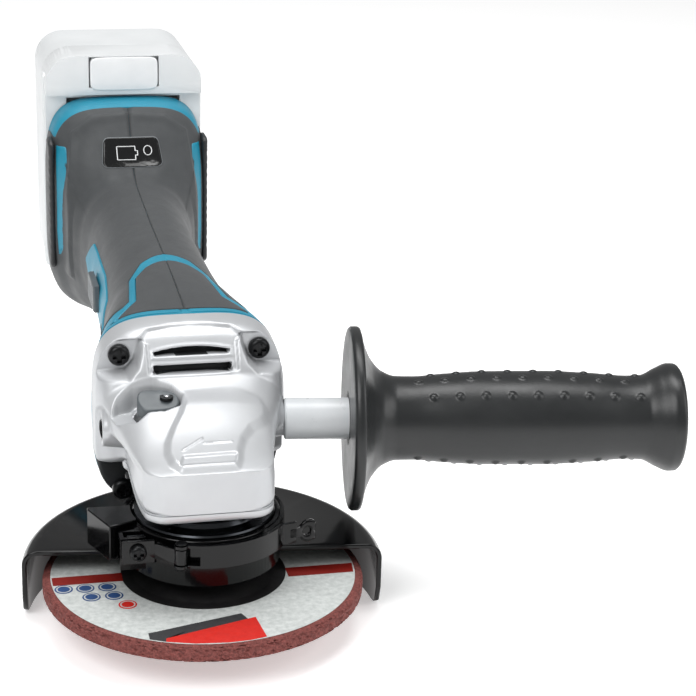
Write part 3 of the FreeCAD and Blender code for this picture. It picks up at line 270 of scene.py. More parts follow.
def smooth_through(stations, places):
    """Values between stations that follow a smooth curve without overshoot (monotone cubic)."""
    x, y = np.array(stations, float).T
    step = np.diff(x)
    slope = np.diff(y) / step
    product = slope[:-1] * slope[1:]
    inner = np.where(product > 0, 2 * product / np.where(product > 0, slope[:-1] + slope[1:], 1), 0)
    tangent = np.concatenate([slope[:1], inner, slope[-1:]])
    spot = np.clip(np.searchsorted(x, places) - 1, 0, len(x) - 2)
    t = np.clip((places - x[spot]) / step[spot], 0, 1)
    return (y[spot] * (1 + 2 * t) * (1 - t) ** 2 + tangent[spot] * step[spot] * t * (1 - t) ** 2
            + y[spot + 1] * t * t * (3 - 2 * t) + tangent[spot + 1] * step[spot] * t * t * (t - 1))


def add_piece(name, points, faces, finishes, face_finish=None, sharp=40):
    """Puts points in millimetres and faces into a mesh that faces outwards."""
    points = np.asarray(points, float) * MM
    volume = 0.0
    for group in faces:
        a = points[group[:, 0]]
        for k in range(1, group.shape[1] - 1):
            b, c = points[group[:, k]], points[group[:, k + 1]]
            volume += np.einsum("ij,ij->i", a, np.cross(b, c)).sum()
    if volume < 0:
        faces = [group[:, ::-1] for group in faces]
    mesh = bpy.data.meshes.new(name)
    mesh.from_pydata(points.tolist(), [], [row for group in faces for row in group.tolist()])
    for finish in finishes:
        mesh.materials.append(finish)
    if face_finish is not None:
        mesh.polygons.foreach_set("material_index", face_finish.astype(np.int32))
    mesh.shade_smooth()
    mesh.set_sharp_from_angle(angle=math.radians(sharp))
    piece = bpy.data.objects.new(name, mesh)
    bpy.context.scene.collection.objects.link(piece)
    return piece


def grid_faces(rows, columns, round_rows=False, round_columns=False):
    """Four-cornered faces that join neighbouring points of a grid."""
    index = np.arange(rows * columns).reshape(rows, columns)
    if round_rows:
        index = np.vstack([index, index[:1]])
    if round_columns:
        index = np.hstack([index, index[:, :1]])
    return np.stack([index[:-1, :-1], index[:-1, 1:], index[1:, 1:], index[1:, :-1]], -1).reshape(-1, 4)


def closed_tube(name, rings, finishes, face_finish=None, sharp=40):
    """A skin over closed rings of points, shut at both ends by a fan to the ring's middle."""
    rows, columns = rings.shape[:2]
    points = np.vstack([rings.reshape(-1, 3), rings[0].mean(0), rings[-1].mean(0)])
    ring = np.arange(columns)
    after = np.roll(ring, -1)
    first = np.stack([np.full(columns, rows * columns), after, ring], -1)
    last_ring = (rows - 1) * columns
    last = np.stack([np.full(columns, rows * columns + 1), last_ring + ring, last_ring + after], -1)
    quads = grid_faces(rows, columns, round_columns=True)
    if face_finish is not None:
        face_finish = np.concatenate([face_finish.ravel(), np.zeros(2 * columns)])
    return add_piece(name, points, [quads, first, last], finishes, face_finish, sharp)


def turned_ring(name, profile, segments, finishes, centre=(0, 0, 0), sharp=40):
    """A closed profile of (radius, height) carried round the upright axis through centre."""
    profile = np.array(profile, float)
    angle = np.linspace(0, 2 * np.pi, segments, endpoint=False)
    radius, height = profile.T
    points = np.stack([centre[0] + np.outer(np.cos(angle), radius),
                       centre[1] + np.outer(np.sin(angle), radius),
                       centre[2] + np.broadcast_to(height, (segments, len(height)))], -1)
    faces = grid_faces(segments, len(profile), True, True)
    return add_piece(name, points.reshape(-1, 3), [faces], finishes, None, sharp)


def flat_patch(name, outline, low, high, finish):
    """A thin flat plate: the outline, from height low up to height high."""
    outline = np.array(outline, float)
    count = len(outline)
    bottom = np.column_stack([outline, np.full(count, low)])
    top = np.column_stack([outline, np.full(count, high)])
    return closed_tube(name, np.stack([bottom, top]), [finish])


def softened(name, source, width_mm, finish, join_flats, change):
    """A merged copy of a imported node, changed by the function given, whose edges sharper than
    35 degrees are rounded to width_mm, as a pressing's or moulding's are."""
    angle = math.radians(35)
    flat = math.radians(1.0)
    shape = bmesh.new()
    shape.from_mesh(nodes[source].data)
    bmesh.ops.remove_doubles(shape, verts=shape.verts, dist=0.004 * MM)
    if join_flats:
        bmesh.ops.dissolve_limit(shape, angle_limit=flat, verts=shape.verts, edges=shape.edges)
    if change is not None:
        change(shape)
    mesh = bpy.data.meshes.new(name)
    shape.to_mesh(mesh)
    shape.free()
    mesh.materials.clear()
    mesh.materials.append(finish)
    mesh.shade_smooth()
    mesh.set_sharp_from_angle(angle=angle)
    piece = bpy.data.objects.new(name, mesh)
    bpy.context.scene.collection.objects.link(piece)
    rounding = piece.modifiers.new("rounding", "BEVEL")
    rounding.width = width_mm * MM
    rounding.segments = 2
    rounding.limit_method = "ANGLE"
    rounding.angle_limit = angle
    rounding.harden_normals = False
    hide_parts(source)
    return piece


# ---------------------------------------------------------------- guard and clamp

CLAMP_TOP = 33.0
CLAMP_SHARE = 0.74
BAND_REACH = 31.6
WHOLE_CLAMP = 99
TAB_CORNER = np.array([27.4, -18.6])
TAB_RUN = np.array([math.cos(math.radians(10)), math.sin(math.radians(10))])
TAB_START = 10.5
TAB_CUT = 8.6
TAB_HOLE = np.array([10.3, 28.2])
SKIRT_CORNER = 10.0
SKIRT_RIM = -12.9
SKIRT_RADIUS = 70


def squeeze(shape, reach):
    """Shortens what lies within reach of the spindle: heights shrink towards the clamp's top edge."""
    for vert in shape.verts:
        if math.hypot(vert.co.x, vert.co.y) < reach * MM:
            vert.co.z = CLAMP_TOP * MM - (CLAMP_TOP * MM - vert.co.z) * CLAMP_SHARE


def squeeze_band(shape):
    """The band squeezed to the lever's height; its lug, which stands further out, keeps its own."""
    squeeze(shape, BAND_REACH)


def squeeze_all(shape):
    """The link and the pin squeezed whole, like the lever that they hold."""
    squeeze(shape, WHOLE_CLAMP)


def squeeze_lever(shape):
    """The lever squeezed like the band, its straight tab cut short for the shaped one."""
    squeeze(shape, WHOLE_CLAMP)
    for vert in shape.verts:
        along = np.dot((vert.co.x / MM - TAB_CORNER[0], vert.co.y / MM - TAB_CORNER[1]), TAB_RUN)
        if along > TAB_START:
            vert.co.x -= TAB_CUT * TAB_RUN[0] * MM
            vert.co.y -= TAB_CUT * TAB_RUN[1] * MM


def make_lever_tab():
    """The thumb tab: a plate round a hole, whose edge lies at a radius r(angle) that makes
    a neck and two lobes."""
    edge = [(0, 3.1), (22, 3.9), (48, 5.1), (75, 4.9), (105, 4.2), (138, 3.6), (158, 5.3), (167, 7.4),
            (180, 7.2)]
    angle = np.linspace(-180, 180, 120, endpoint=False)
    reach = smooth_through(edge, np.abs(angle))
    hole = np.full(len(angle), 1.7)
    hole_rim = np.full(len(angle), 2.0)
    radius = np.stack([hole, hole_rim, reach - 0.4, reach, reach, reach - 0.4, hole_rim, hole], 1)
    depth = np.array([0.3, 0, 0, 0.4, 1.3, 1.7, 1.7, 1.4])
    turn = np.radians(angle)[:, None]
    run = TAB_HOLE[0] + radius * np.cos(turn)
    height = TAB_HOLE[1] + radius * np.sin(turn)
    x = TAB_CORNER[0] + run * TAB_RUN[0] - depth * TAB_RUN[1]
    y = TAB_CORNER[1] + run * TAB_RUN[1] + depth * TAB_RUN[0]
    points = np.stack([x, y, height], -1).reshape(-1, 3)
    faces = grid_faces(len(angle), len(depth), True, True)
    piece = add_piece("clamp_lever_tab", points, [faces], [black_paint], None, 50)
    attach(piece, "lever")


def round_skirt(shape):
    """Rounds the two lower corners of the guard's skirt: its rim rises along a quarter circle at each
    side of the widest gap in it."""
    rim = [vert for vert in shape.verts if vert.co.z < SKIRT_RIM * MM]
    whole_turn = 2 * math.pi
    angles = sorted(math.atan2(vert.co.y, vert.co.x) for vert in rim)
    gaps = [(after - before, before, after) for before, after in zip(angles, angles[1:])]
    gaps.append((angles[0] + whole_turn - angles[-1], angles[-1], angles[0] + whole_turn))
    before, after = max(gaps)[1:]
    for vert in rim:
        turn = math.atan2(vert.co.y, vert.co.x)
        away = min((before - turn) % whole_turn, (turn - after) % whole_turn) * SKIRT_RADIUS
        if away < SKIRT_CORNER:
            rise = SKIRT_CORNER - math.sqrt(SKIRT_CORNER ** 2 - (SKIRT_CORNER - away) ** 2)
            vert.co.z += rise * MM


make_lever_tab()


# ---------------------------------------------------------------- gear head

NOSE_PLAN = [(-28.5, 24), (-19.5, 25), (-10, 26.6), (0, 28.6), (8, 30.4), (16, 32.8), (24, 35.3),
             (30, 37), (35, 37.8), (48, 37.8)]
LOWER_PLAN = [(-28.5, 24), (-19.5, 25.3), (-10, 26.1), (0, 26.4), (14, 26.6), (24, 27), (29, 29.6),
              (33, 34.6), (36, 37.8), (48, 37.8)]
NOSE_LEAN = [(-28.5, 1.4), (-10, 1.2), (10, 0.6), (30, 0), (48, 0)]
NOSE_TOP = [(-28.5, 61), (-24, 61.6), (-18, 62.8), (-8, 65.4), (6, 70.8), (18, 75.6), (23.4, 78.2),
            (25.4, 79.5), (26.6, 82), (28.6, 85.4), (31, 88.7), (34.5, 92.6), (39.5, 95.2), (48, 96.5)]
NOSE_FLOOR = [(-28.5, 44), (26, 44), (34, 40.5), (48, 40)]
DOME_POWER = [(-28.5, 2.5), (0, 2.5), (12, 2.7), (24, 3.1), (34, 3.8), (48, 3.8)]
BUTTON_PLAN = [(-21.6, 21.2), (-16, 21.4), (-12, 21), (-9, 19.6), (-7.4, 17.4), (-7.3, 14.8), (-9, 12.6),
               (-12.6, 11.6), (-17, 11.5), (-20.6, 11.7), (-22.6, 14), (-23.4, 18)]
SHELF_HEIGHT = 60.0
CORNER_RADIUS = 8.5
FRONT_FACE = -28.5
SEAM = 48
FACE_RINGS = 14


def head_rings():
    """Sections of the gear head along y: an upright wall up to the shelf height, then a dome
    x = w (1 - h^n)^(1/n), where h runs from 0 at the shelf to 1 at the crown.
    The first rings shrink towards the front face to round its corner."""
    path_y = np.linspace(FRONT_FACE + CORNER_RADIUS, SEAM, 4000)
    path_z = smooth_through(NOSE_TOP, path_y)
    length = np.concatenate([[0], np.cumsum(np.hypot(np.diff(path_y), np.diff(path_z)))])
    stops = np.linspace(0, length[-1], int(length[-1] / 0.48))
    straight = np.interp(stops, length, path_y)
    turn = np.linspace(0, np.pi / 2, FACE_RINGS + 1)[1:]
    rounded = FRONT_FACE + CORNER_RADIUS * (1 - np.sin(turn[::-1]))
    face = np.full(FACE_RINGS, FRONT_FACE)
    stations = np.concatenate([face, rounded, straight])
    inset = np.concatenate([np.full(FACE_RINGS, CORNER_RADIUS), CORNER_RADIUS * (1 - np.cos(turn[::-1])),
                            np.zeros(len(straight))])
    shrink = np.concatenate([np.linspace(0.04, 0.93, FACE_RINGS), np.ones(len(turn) + len(straight))])
    width = smooth_through(NOSE_PLAN, stations) - inset
    crown = smooth_through(NOSE_TOP, stations) - np.minimum(inset, 6) * 0.16
    floor = smooth_through(NOSE_FLOOR, stations)
    power = smooth_through(DOME_POWER, stations)
    base = np.linspace(0, 1, 34, endpoint=False)
    wall = np.linspace(0, 1, 26, endpoint=False)
    dome = np.linspace(0, 1, 118)
    w, c, f, n = (a[:, None] for a in (width, crown, floor, power))
    edge = 2.2
    low = (smooth_through(LOWER_PLAN, stations) - inset)[:, None]
    base_x = base[None] * (low - edge)
    base_z = f + 0 * base_x
    corner = np.linspace(0, np.pi / 2, 8, endpoint=False)[None]
    corner_x = low - edge + edge * np.sin(corner)
    corner_z = f + edge * (1 - np.cos(corner))
    rise = np.clip((wall[None] - 0.55) / 0.45, 0, 1)
    wall_x = low + (w - low) * rise ** 2 * (3 - 2 * rise)
    wall_z = f + edge + (SHELF_HEIGHT - f - edge) * wall[None]
    theta = dome[None] * np.pi / 2
    dome_x = w * np.cos(theta) ** (2 / n)
    dome_z = SHELF_HEIGHT + (c - SHELF_HEIGHT) * np.sin(theta) ** (2 / n)
    half_x = np.hstack([base_x, corner_x, wall_x, dome_x])
    half_z = np.hstack([base_z, corner_z, wall_z, dome_z])
    return stations, even_half(half_x, half_z), shrink


def even_half(half_x, half_z):
    """Spreads the points of each half section evenly along its length."""
    run = np.hypot(np.diff(half_x, axis=1), np.diff(half_z, axis=1))
    length = np.hstack([np.zeros((len(run), 1)), np.cumsum(run, axis=1)])
    count = 146
    even = np.empty((len(run), count, 2))
    for row in range(len(run)):
        stops = np.linspace(0, length[row, -1], count)
        even[row, :, 0] = np.interp(stops, length[row], half_x[row])
        even[row, :, 1] = np.interp(stops, length[row], half_z[row])
    return even


def carve_head(p):
    """Cuts the pockets, slots and recess into the gear head, and raises its front plate and arrow.
    Each has an S-shaped edge. Returns how far each point lies in a vent slot, from 0 to 1, which the caller
    uses to paint shade into the slots."""
    x, y, z = p[..., 0].copy(), p[..., 1].copy(), p[..., 2].copy()
    top_side = z > 57
    # the raised front plate, with curved sides that narrow towards the nose
    plate = [(-4.7, 17), (-4.7, 11), (-7, 5), (-10.6, -2), (-13.4, -9), (-14.4, -16), (-13.4, -22),
             (-10.5, -26), (9.4, -26), (11, -22), (12.4, -15), (14.6, -8.5), (18.6, -2.4), (23.6, 2.4),
             (25.6, 6), (26, 10), (24, 15), (15, 19)]
    lift = ramp(outline_distance(x, y, plate, 0.6), 3.6) * top_side * (z < 79) * ramp(y - 14, 12)
    p[..., 2] += 1.7 * lift
    stripe = [(-11, -24), (-9.2, -19.4), (10.6, -19), (9.4, -23.6)]
    p[..., 2] -= 0.8 * ramp(outline_distance(x, y, stripe, 0.3), 0.9) * top_side * (z < 66)
    shaft = [(-0.6, -12.7), (10, -12.4), (10, -12), (-0.6, -12.3)]
    barb = [(-9.3, -15.8), (-1, -9.4), (-1.1, -10.2), (-8.9, -16.2)]
    for mark in (shaft, barb):
        p[..., 2] += 0.55 * ramp(outline_distance(x, y, mark, 0.15), 0.7) * top_side * (z < 70)
    # the step under the brow: the vent panel stands back from the rim of the bell
    brow = [(-17.3, 80), (-17.6, 90), (-20.4, 91.4), (-16.8, 94), (-8, 94.9), (0, 95.1), (8, 94.9),
            (16.4, 94), (20.8, 91.6), (18, 90), (17.7, 80)]
    front_side = (y > 20) & (y < 46)
    step = ramp(outline_distance(x, z, brow, 0.2), 1.1) * front_side
    p[..., 1] += 1.5 * step
    p[..., 2] -= 0.7 * step
    # raised lips round the two vent slots
    arch = 88.7 - 1.5 * (np.abs(x) / 15) ** 2.2
    upper = np.maximum(np.maximum(86.3 - z, z - arch), np.abs(x) - 14.6)
    lower = box_distance(x, z, (0, 81.4), (15.2, 1.35), 0.4)
    for slot_edge in (upper, lower):
        p[..., 1] -= 0.4 * ramp(np.abs(slot_edge - 0.8) - 0.45, 0.7) * front_side
    depth = np.maximum(ramp(upper, 0.55), ramp(lower, 0.55)) * front_side
    p[..., 1] += 5.5 * depth
    p[..., 2] -= 1.2 * depth
    # the scoops that let in the two upper screws
    left_pocket = [(-37, 77.6), (-36.4, 84), (-30, 90.6), (-19.4, 91.2), (-20.4, 87), (-22, 82),
                   (-25.4, 78.2)]
    right_pocket = [(37, 78), (36.4, 84.5), (30, 91.2), (20, 91.6), (21, 87), (22.8, 82), (26.4, 78.4)]
    for pocket in (left_pocket, right_pocket):
        inside = ramp(outline_distance(x, z, pocket, 0.2), 1.5) * (y > 10)
        p[..., 1] += inside * np.maximum(37.9 - y, 0)
    # the recess of the lock button, open to a thumb rest on the left
    recess = [(-33.5, 18.6), (-30.3, 21.6), (-24, 23.8), (-16.5, 24.2), (-10.6, 21.4), (-6.4, 15.8),
              (-7.6, 11.6), (-13, 9.8), (-19.6, 10.8), (-24, 7.6), (-28.6, 11), (-33.5, 14.6)]
    hollow = ramp(outline_distance(x, y, recess, 0.3), 1.8) * top_side
    floor = 66.0 - 0.5 * np.clip(-22 - x, 0, 3) + 0.1 * np.clip(y - 12, 0, 20)
    p[..., 2] -= hollow * np.maximum(z - floor, 0)
    # the well that the lock button sinks into
    well = ramp(outline_distance(x, y, BUTTON_PLAN, 0.75), 0.6) * top_side * (y > 0)
    p[..., 2] -= well * np.maximum(p[..., 2] - 62.4, 0) * (p[..., 2] < 68)
    # the left handle hole, its flat boss, and the same boss under the spacer on the right
    for side in (-1, 1):
        away = np.hypot(y - 26, z - 58) + 99 * (side * x < 20)
        seat = 36.3 - side * x
        p[..., 0] += side * ramp(away - 7.2, 1.2) * seat
        p[..., 0] -= side * 7.5 * ramp(away - 4.0, 0.7)
        ring = np.abs(away - 8.6) - 0.35
        p[..., 0] -= side * 0.45 * ramp(ring, 0.6)
    # the parting line that runs from the handle boss down to the shelf
    crease = ramp(np.abs(z - 59.2) - 0.25, 0.7) * (y < 16) * (y > -22)
    p[..., 0] -= np.sign(x) * 0.35 * crease * (np.abs(x) > 16)
    return depth


def make_gear_head():
    """The silver casting of the gear head, from the nose to the seam with the body, with painted shade (the
    dark nylon finish) deep in its vent slots.
    """
    stations, right, shrink = head_rings()
    left = right[:, ::-1] * (-1, 1)
    ring = np.concatenate([right, left[:, 1:-1]], axis=1)
    middle = np.array([0.0, 50.5])
    ring = middle + (ring - middle) * shrink[:, None, None]
    depth_axis = np.broadcast_to(stations[:, None], ring.shape[:2])
    points = np.stack([ring[..., 0], depth_axis, ring[..., 1]], -1)
    depth = carve_head(points)
    points[..., 0] -= smooth_through(NOSE_LEAN, stations)[:, None]
    # faces deep in the vent slots take the dark nylon finish: painted shade inside the slots
    wrapped = np.concatenate([depth, depth[:, :1]], axis=1)
    cell = (wrapped[:-1, :-1] + wrapped[:-1, 1:] + wrapped[1:, :-1] + wrapped[1:, 1:]) / 4
    piece = closed_tube("gear_head_casting", points, [cast_aluminium, black_plastic], (cell > 0.45), 75)
    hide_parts("gear_housing")
    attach(piece, "tool")


def make_bearing_box():
    """The plate under the gear head and its neck: the plate follows the nose's own plan."""
    back = 27.0
    angle = np.linspace(0, np.pi / 2, 12)
    corner = np.column_stack([16.4 + 8.6 * np.sin(angle), FRONT_FACE + 8.6 * (1 - np.cos(angle))])
    side_y = np.linspace(-18, back, 24)
    side = np.column_stack([smooth_through(LOWER_PLAN, side_y), side_y])
    half = np.vstack([corner, side])
    outline = np.vstack([half, half[::-1] * (-1, 1)])
    outline[:, 0] -= smooth_through(NOSE_LEAN, outline[:, 1])
    levels = [(39.9, 3.4), (40.1, 1.9), (40.8, 0.7), (41.8, 0.2), (43.3, 0.05), (43.6, 0.05), (43.6, 0.7),
              (44.2, 0.7)]
    reach = np.hypot(*outline.T)
    rings = []
    for height, inset in levels:
        flat = outline * (1 - inset / reach)[:, None]
        rings.append(np.column_stack([flat, np.full(len(flat), height)]))
    plate = closed_tube("bearing_box_plate", np.stack(rings), [cast_aluminium], None, 50)
    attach(plate, "tool")
    neck_profile = [(20.5, 20), (27.2, 20), (27.5, 20.3), (27.5, 33.4), (27, 34), (25.5, 34.4),
                    (23.6, 35.4), (22.8, 37), (23, 38.6), (23.8, 39.9), (23.8, 40.2), (20.5, 40.2)]
    # the neck's near-black colour is painted shade for the shadow under the gear head
    neck = turned_ring("bearing_box_neck", neck_profile, 96, [neck_metal_painted_shade], sharp=30)
    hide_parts("bearing_box")
    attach(neck, "tool")


def make_lower_flange():
    """The dark plate under the bell: the lower part of the bell's own squircle outline, cut off level."""
    points = 90
    middle = 57.8
    shape = 2 / 3.8
    turn = np.linspace(0, np.pi, points)
    x = 37.6 * np.sign(np.cos(turn)) * np.abs(np.cos(turn)) ** shape
    z = np.minimum(middle - 38.7 * np.abs(np.sin(turn)) ** shape, 41.0)
    sections = [(48.9, 0.9), (48.9, 1.0), (41.6, 1.0), (40.9, 0.985), (40.7, 0.96), (40.7, 0.6)]
    rings = [np.column_stack([x * share, np.full(points, y), middle + (z - middle) * share])
             for y, share in sections]
    piece = closed_tube("lower_flange_plate", np.stack(rings), [black_plastic], None, 50)
    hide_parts("lower_flange")
    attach(piece, "tool")


make_gear_head()
make_bearing_box()
make_lower_flange()


# ---------------------------------------------------------------- lock button

def smooth_loop(corners, count):
    """A closed curve through the corners in turn, made of Catmull-Rom cubics."""
    turn = np.linspace(0, len(corners), count + 1)[:-1]
    spot = turn.astype(int)
    part = (turn - spot)[:, None]
    a, b, c, d = (np.roll(corners, shift, axis=0)[spot] for shift in (1, 0, -1, -2))
    return 0.5 * (2 * b + (c - a) * part + (2 * a - 5 * b + 4 * c - d) * part ** 2
                  + (3 * b - a - 3 * c + d) * part ** 3)


def make_lock_button():
    """The lock button: its plan outline carried up to a top that slopes with the gear head,
    with a rounded rim."""
    outline = smooth_loop(np.array(BUTTON_PLAN), 96)
    middle = np.array([-15.5, 16.5])
    foot = np.column_stack([outline, np.full(len(outline), 67.0)])
    rings = [foot]
    for share, drop in [(1.0, 1.0), (0.985, 0.4), (0.95, 0.1), (0.9, 0), (0.5, 0.15), (0.1, 0.2)]:
        flat = middle + (outline - middle) * share
        slope = 70.9 + 0.46 * (flat[:, 1] - 12)
        rings.append(np.column_stack([flat, slope - drop]))
    piece = closed_tube("lock_button_cap", np.stack(rings), [dark_button], None, 60)
    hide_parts("lock_button")
    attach(piece, "shaft_lock")


make_lock_button()


def make_pin_tip():
    """The bright riveted end of the lock pin: a low turned dome."""
    dome = [(0.15, 73.8), (1.15, 73.8), (1.15, 74.1), (0.8, 74.4), (0.15, 74.5)]
    piece = turned_ring("lock_pin_tip", dome, 32, [bright_steel], (-12, 17, 0))
    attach(piece, "shaft_lock")
    pin = nodes["lock_pin"].data
    pin.materials.clear()
    pin.materials.append(black_screws)


make_pin_tip()


def make_handle_bore():
    """The threaded hole in the left boss: a cup with ring-shaped threads, one to each pitch, coloured dark
    as painted shade inside the hole.
    """
    pitch = 1.25
    depth = np.arange(0, 6.6, pitch / 4)
    wall = 3.55 + 0.18 * np.cos(2 * np.pi * depth / pitch)
    cup = [(7.2, 0.2), (7.2, 4.0), (0.15, 4.0), (0.05, 3.9), *zip(depth[1:], wall[1:]), (6.6, 0.2)]
    turn = np.linspace(0, 2 * np.pi, 48, endpoint=False)
    mouth = np.array([-36.35, 26.0, 58.0])
    inward = np.array([math.cos(HANDLE_TURN), math.sin(HANDLE_TURN), 0.0])
    across = np.array([-inward[1], inward[0], 0.0])
    rings = np.stack([mouth + inward * d + r * np.outer(np.cos(turn), across)
                      + r * np.outer(np.sin(turn), HANDLE_UP) for d, r in cup])
    # the cup's dark screw finish is painted shade inside the hole
    piece = closed_tube("left_handle_bore_painted_shade", rings, [black_screws])
    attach(piece, "tool")


make_handle_bore()


def make_release_key():
    """The battery's release key: a squircle plate with a rounded rim, standing in the pack's front."""
    points = 96
    edge_x, edge_z = rounded_square(np.linspace(0, 2 * np.pi, points, endpoint=False), 0.28)
    rings = []
    for share, y in [(1.0, 250.6), (1.0, 246.5), (0.995, 246.15), (0.98, 245.95), (0.93, 245.85),
                     (0.5, 245.8), (0.1, 245.8)]:
        rings.append(np.column_stack([16.2 * share * edge_x, np.full(points, y),
                                      150.2 + 8.0 * share * edge_z]))
    piece = closed_tube("battery_release_key", np.stack(rings), [button_plastic], None, 60)
    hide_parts("battery_button")
    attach(piece, "release_button")


make_release_key()


def make_battery_rail(side, name):
    """The rail up the side of the pack: a slim upright box with rounded ends and a round dimple
    near its top."""
    height = np.concatenate([np.linspace(52, 138, 60, endpoint=False), np.linspace(138, 149, 40)])
    turn = np.linspace(0, 2 * np.pi, 96, endpoint=False)
    taper = np.minimum(1, np.minimum((height - 51.4) / 3, (149.6 - height) / 2.4)) ** 0.5
    cross_x, cross_y = rounded_square(turn, 0.4)
    x = PACK_SIDE - 0.6 + (1.9 * taper)[:, None] * cross_x
    y = RAIL_MIDDLE + (4.2 * taper)[:, None] * cross_y
    z = np.broadcast_to(height[:, None], x.shape)
    dimple = ramp(np.hypot(y - RAIL_MIDDLE, z - 144) - 1.7, 0.7) * (x > PACK_SIDE)
    points = np.stack([x - 0.9 * dimple, y, z], -1) * (side, 1, 1)
    piece = closed_tube(name, points, [battery_plastic], None, 45)
    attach(piece, "battery")


make_battery_rail(1, "battery_rail_right")
make_battery_rail(-1, "battery_rail_left")


# ---------------------------------------------------------------- body skin

BODY_SECTIONS = [
    # y, half width, underside, top, squareness
    (48, 37.8, 19, 96.5, 3.8), (62, 34.2, 22.5, 98.2, 3.4), (78, 30.2, 26, 99.7, 2.9),
    (96, 27.2, 31, 100.7, 2.5), (122, 25.2, 38, 101.8, 2.35), (150, 24.3, 42, 102.8, 2.3),
    (170, 23.7, 43, 104.2, 2.3), (190, 24.2, 43, 105.5, 2.3), (202, 26, 42, 106.8, 2.45),
    (210, 28.2, 40, 109.6, 2.8), (216, 29.8, 38.4, 114.6, 3.1), (225, 32.4, 37, 126, 3.4),
    (233, 36.4, 36.4, 134.4, 3.8), (241, 38, 36.2, 137.6, 4.2), (250, 38.2, 36.2, 138.4, 4.4)]
LIP_OUTLINE = [(52, 32.6), (66, 20.3), (93, 17), (105, 10.5), (109.5, 5), (111, 0.15)]
PAD_OUTLINE = [(52, 26.9), (64, 17.6), (91, 14.4), (98, 9.6), (101.6, 5), (103, 0.15)]


def straight_through(stations, places):
    """Values on the straight lines between stations."""
    return np.interp(places, *np.array(stations, float).T)


def section_values(y):
    """Half width, underside, top and squareness of the body at each y."""
    table = np.array(BODY_SECTIONS, float)
    return [smooth_through(table[:, [0, k]], y) for k in (1, 2, 3, 4)]


def body_point(y, turn, lift):
    """A point on the body's squircle section, moved out by lift: x = w |sin t|^(2/n) and
    z = m + h sgn(cos t)|cos t|^(2/n), with t from 0 at the top centre to pi at the bottom centre."""
    half, low, high, power = section_values(y)
    mid, tall = (low + high) / 2, (high - low) / 2
    c, s = np.cos(turn), np.sin(turn)
    x = (half + lift) * np.abs(s) ** (2 / power)
    z = mid + (tall + lift) * np.sign(c) * np.abs(c) ** (2 / power)
    return x, z


def turn_at(y, x):
    """The section angle at which the upper surface has that distance from the middle."""
    half, low, high, power = section_values(y)
    return np.arcsin(np.clip(x / half, 0, 1) ** (power / 2))


def front_depth(x, z, lift=0.0):
    """The y at which the flared rear of the body first reaches the point (x, z), seen from the front."""
    ys = np.linspace(196, 246, 500)
    half, low, high, power = section_values(ys)
    mid, tall = (low + high) / 2, (high - low) / 2
    shape = np.shape(x)
    x, z = np.ravel(x)[:, None], np.ravel(z)[:, None]
    inside = (np.abs(x) / half) ** power + np.abs((z - mid) / tall) ** power < 1
    first = np.argmax(inside, axis=1)
    return (ys[first] - lift).reshape(shape)


def edge_round(distance, width, drop):
    """How far a skin falls away at its edge: a quarter circle of the given width, drop deep."""
    t = 1 - np.clip(distance / width, 0, 1)
    return drop * (1 - np.sqrt(1 - t * t))


def thicken(piece, thickness_mm):
    """Gives an open skin its wall, inwards from its outer face."""
    wall = piece.modifiers.new("wall", "SOLIDIFY")
    wall.thickness = thickness_mm * MM
    wall.offset = -1


def skin(name, points, finish, side, sharp=50):
    """An open grid of points as a thin wall whose outer face looks away from the body's middle."""
    rows, columns = points.shape[:2]
    points = points * (side, 1, 1)
    faces = grid_faces(rows, columns)
    a, b, d = (points.reshape(-1, 3)[faces[:, k]] for k in (0, 1, 3))
    facing = np.cross(b - a, d - a)
    middle = np.array([0.0, 0.0, 70.0])
    outward = (a - middle) * (1, 0, 1) + (0, -8, 0)
    if np.einsum("ij,ij->i", facing, outward).sum() < 0:
        faces = faces[:, ::-1]
    mesh = bpy.data.meshes.new(name)
    mesh.from_pydata((points.reshape(-1, 3) * MM).tolist(), [], faces.tolist())
    mesh.materials.append(finish)
    mesh.shade_smooth()
    mesh.set_sharp_from_angle(angle=math.radians(sharp))
    piece = bpy.data.objects.new(name, mesh)
    bpy.context.scene.collection.objects.link(piece)
    return piece


EDGE_SHARES = np.array([0, 0.002, 0.004, 0.007, 0.011, 0.016])


def even_rows(first, last, spacing):
    """Places along y that are evenly spaced along the body's top line, closer at both ends."""
    y = np.linspace(first, last, 3000)
    top = section_values(y)[2]
    length = np.concatenate([[0], np.cumsum(np.hypot(np.diff(y), np.diff(top)))])
    stops = np.linspace(0, length[-1], int(length[-1] / spacing))
    close = np.array([0, 0.25, 0.5, 0.8, 1.1])
    stops = np.concatenate([close, stops[3:-3], length[-1] - close[::-1]])
    return np.interp(stops, length, y)


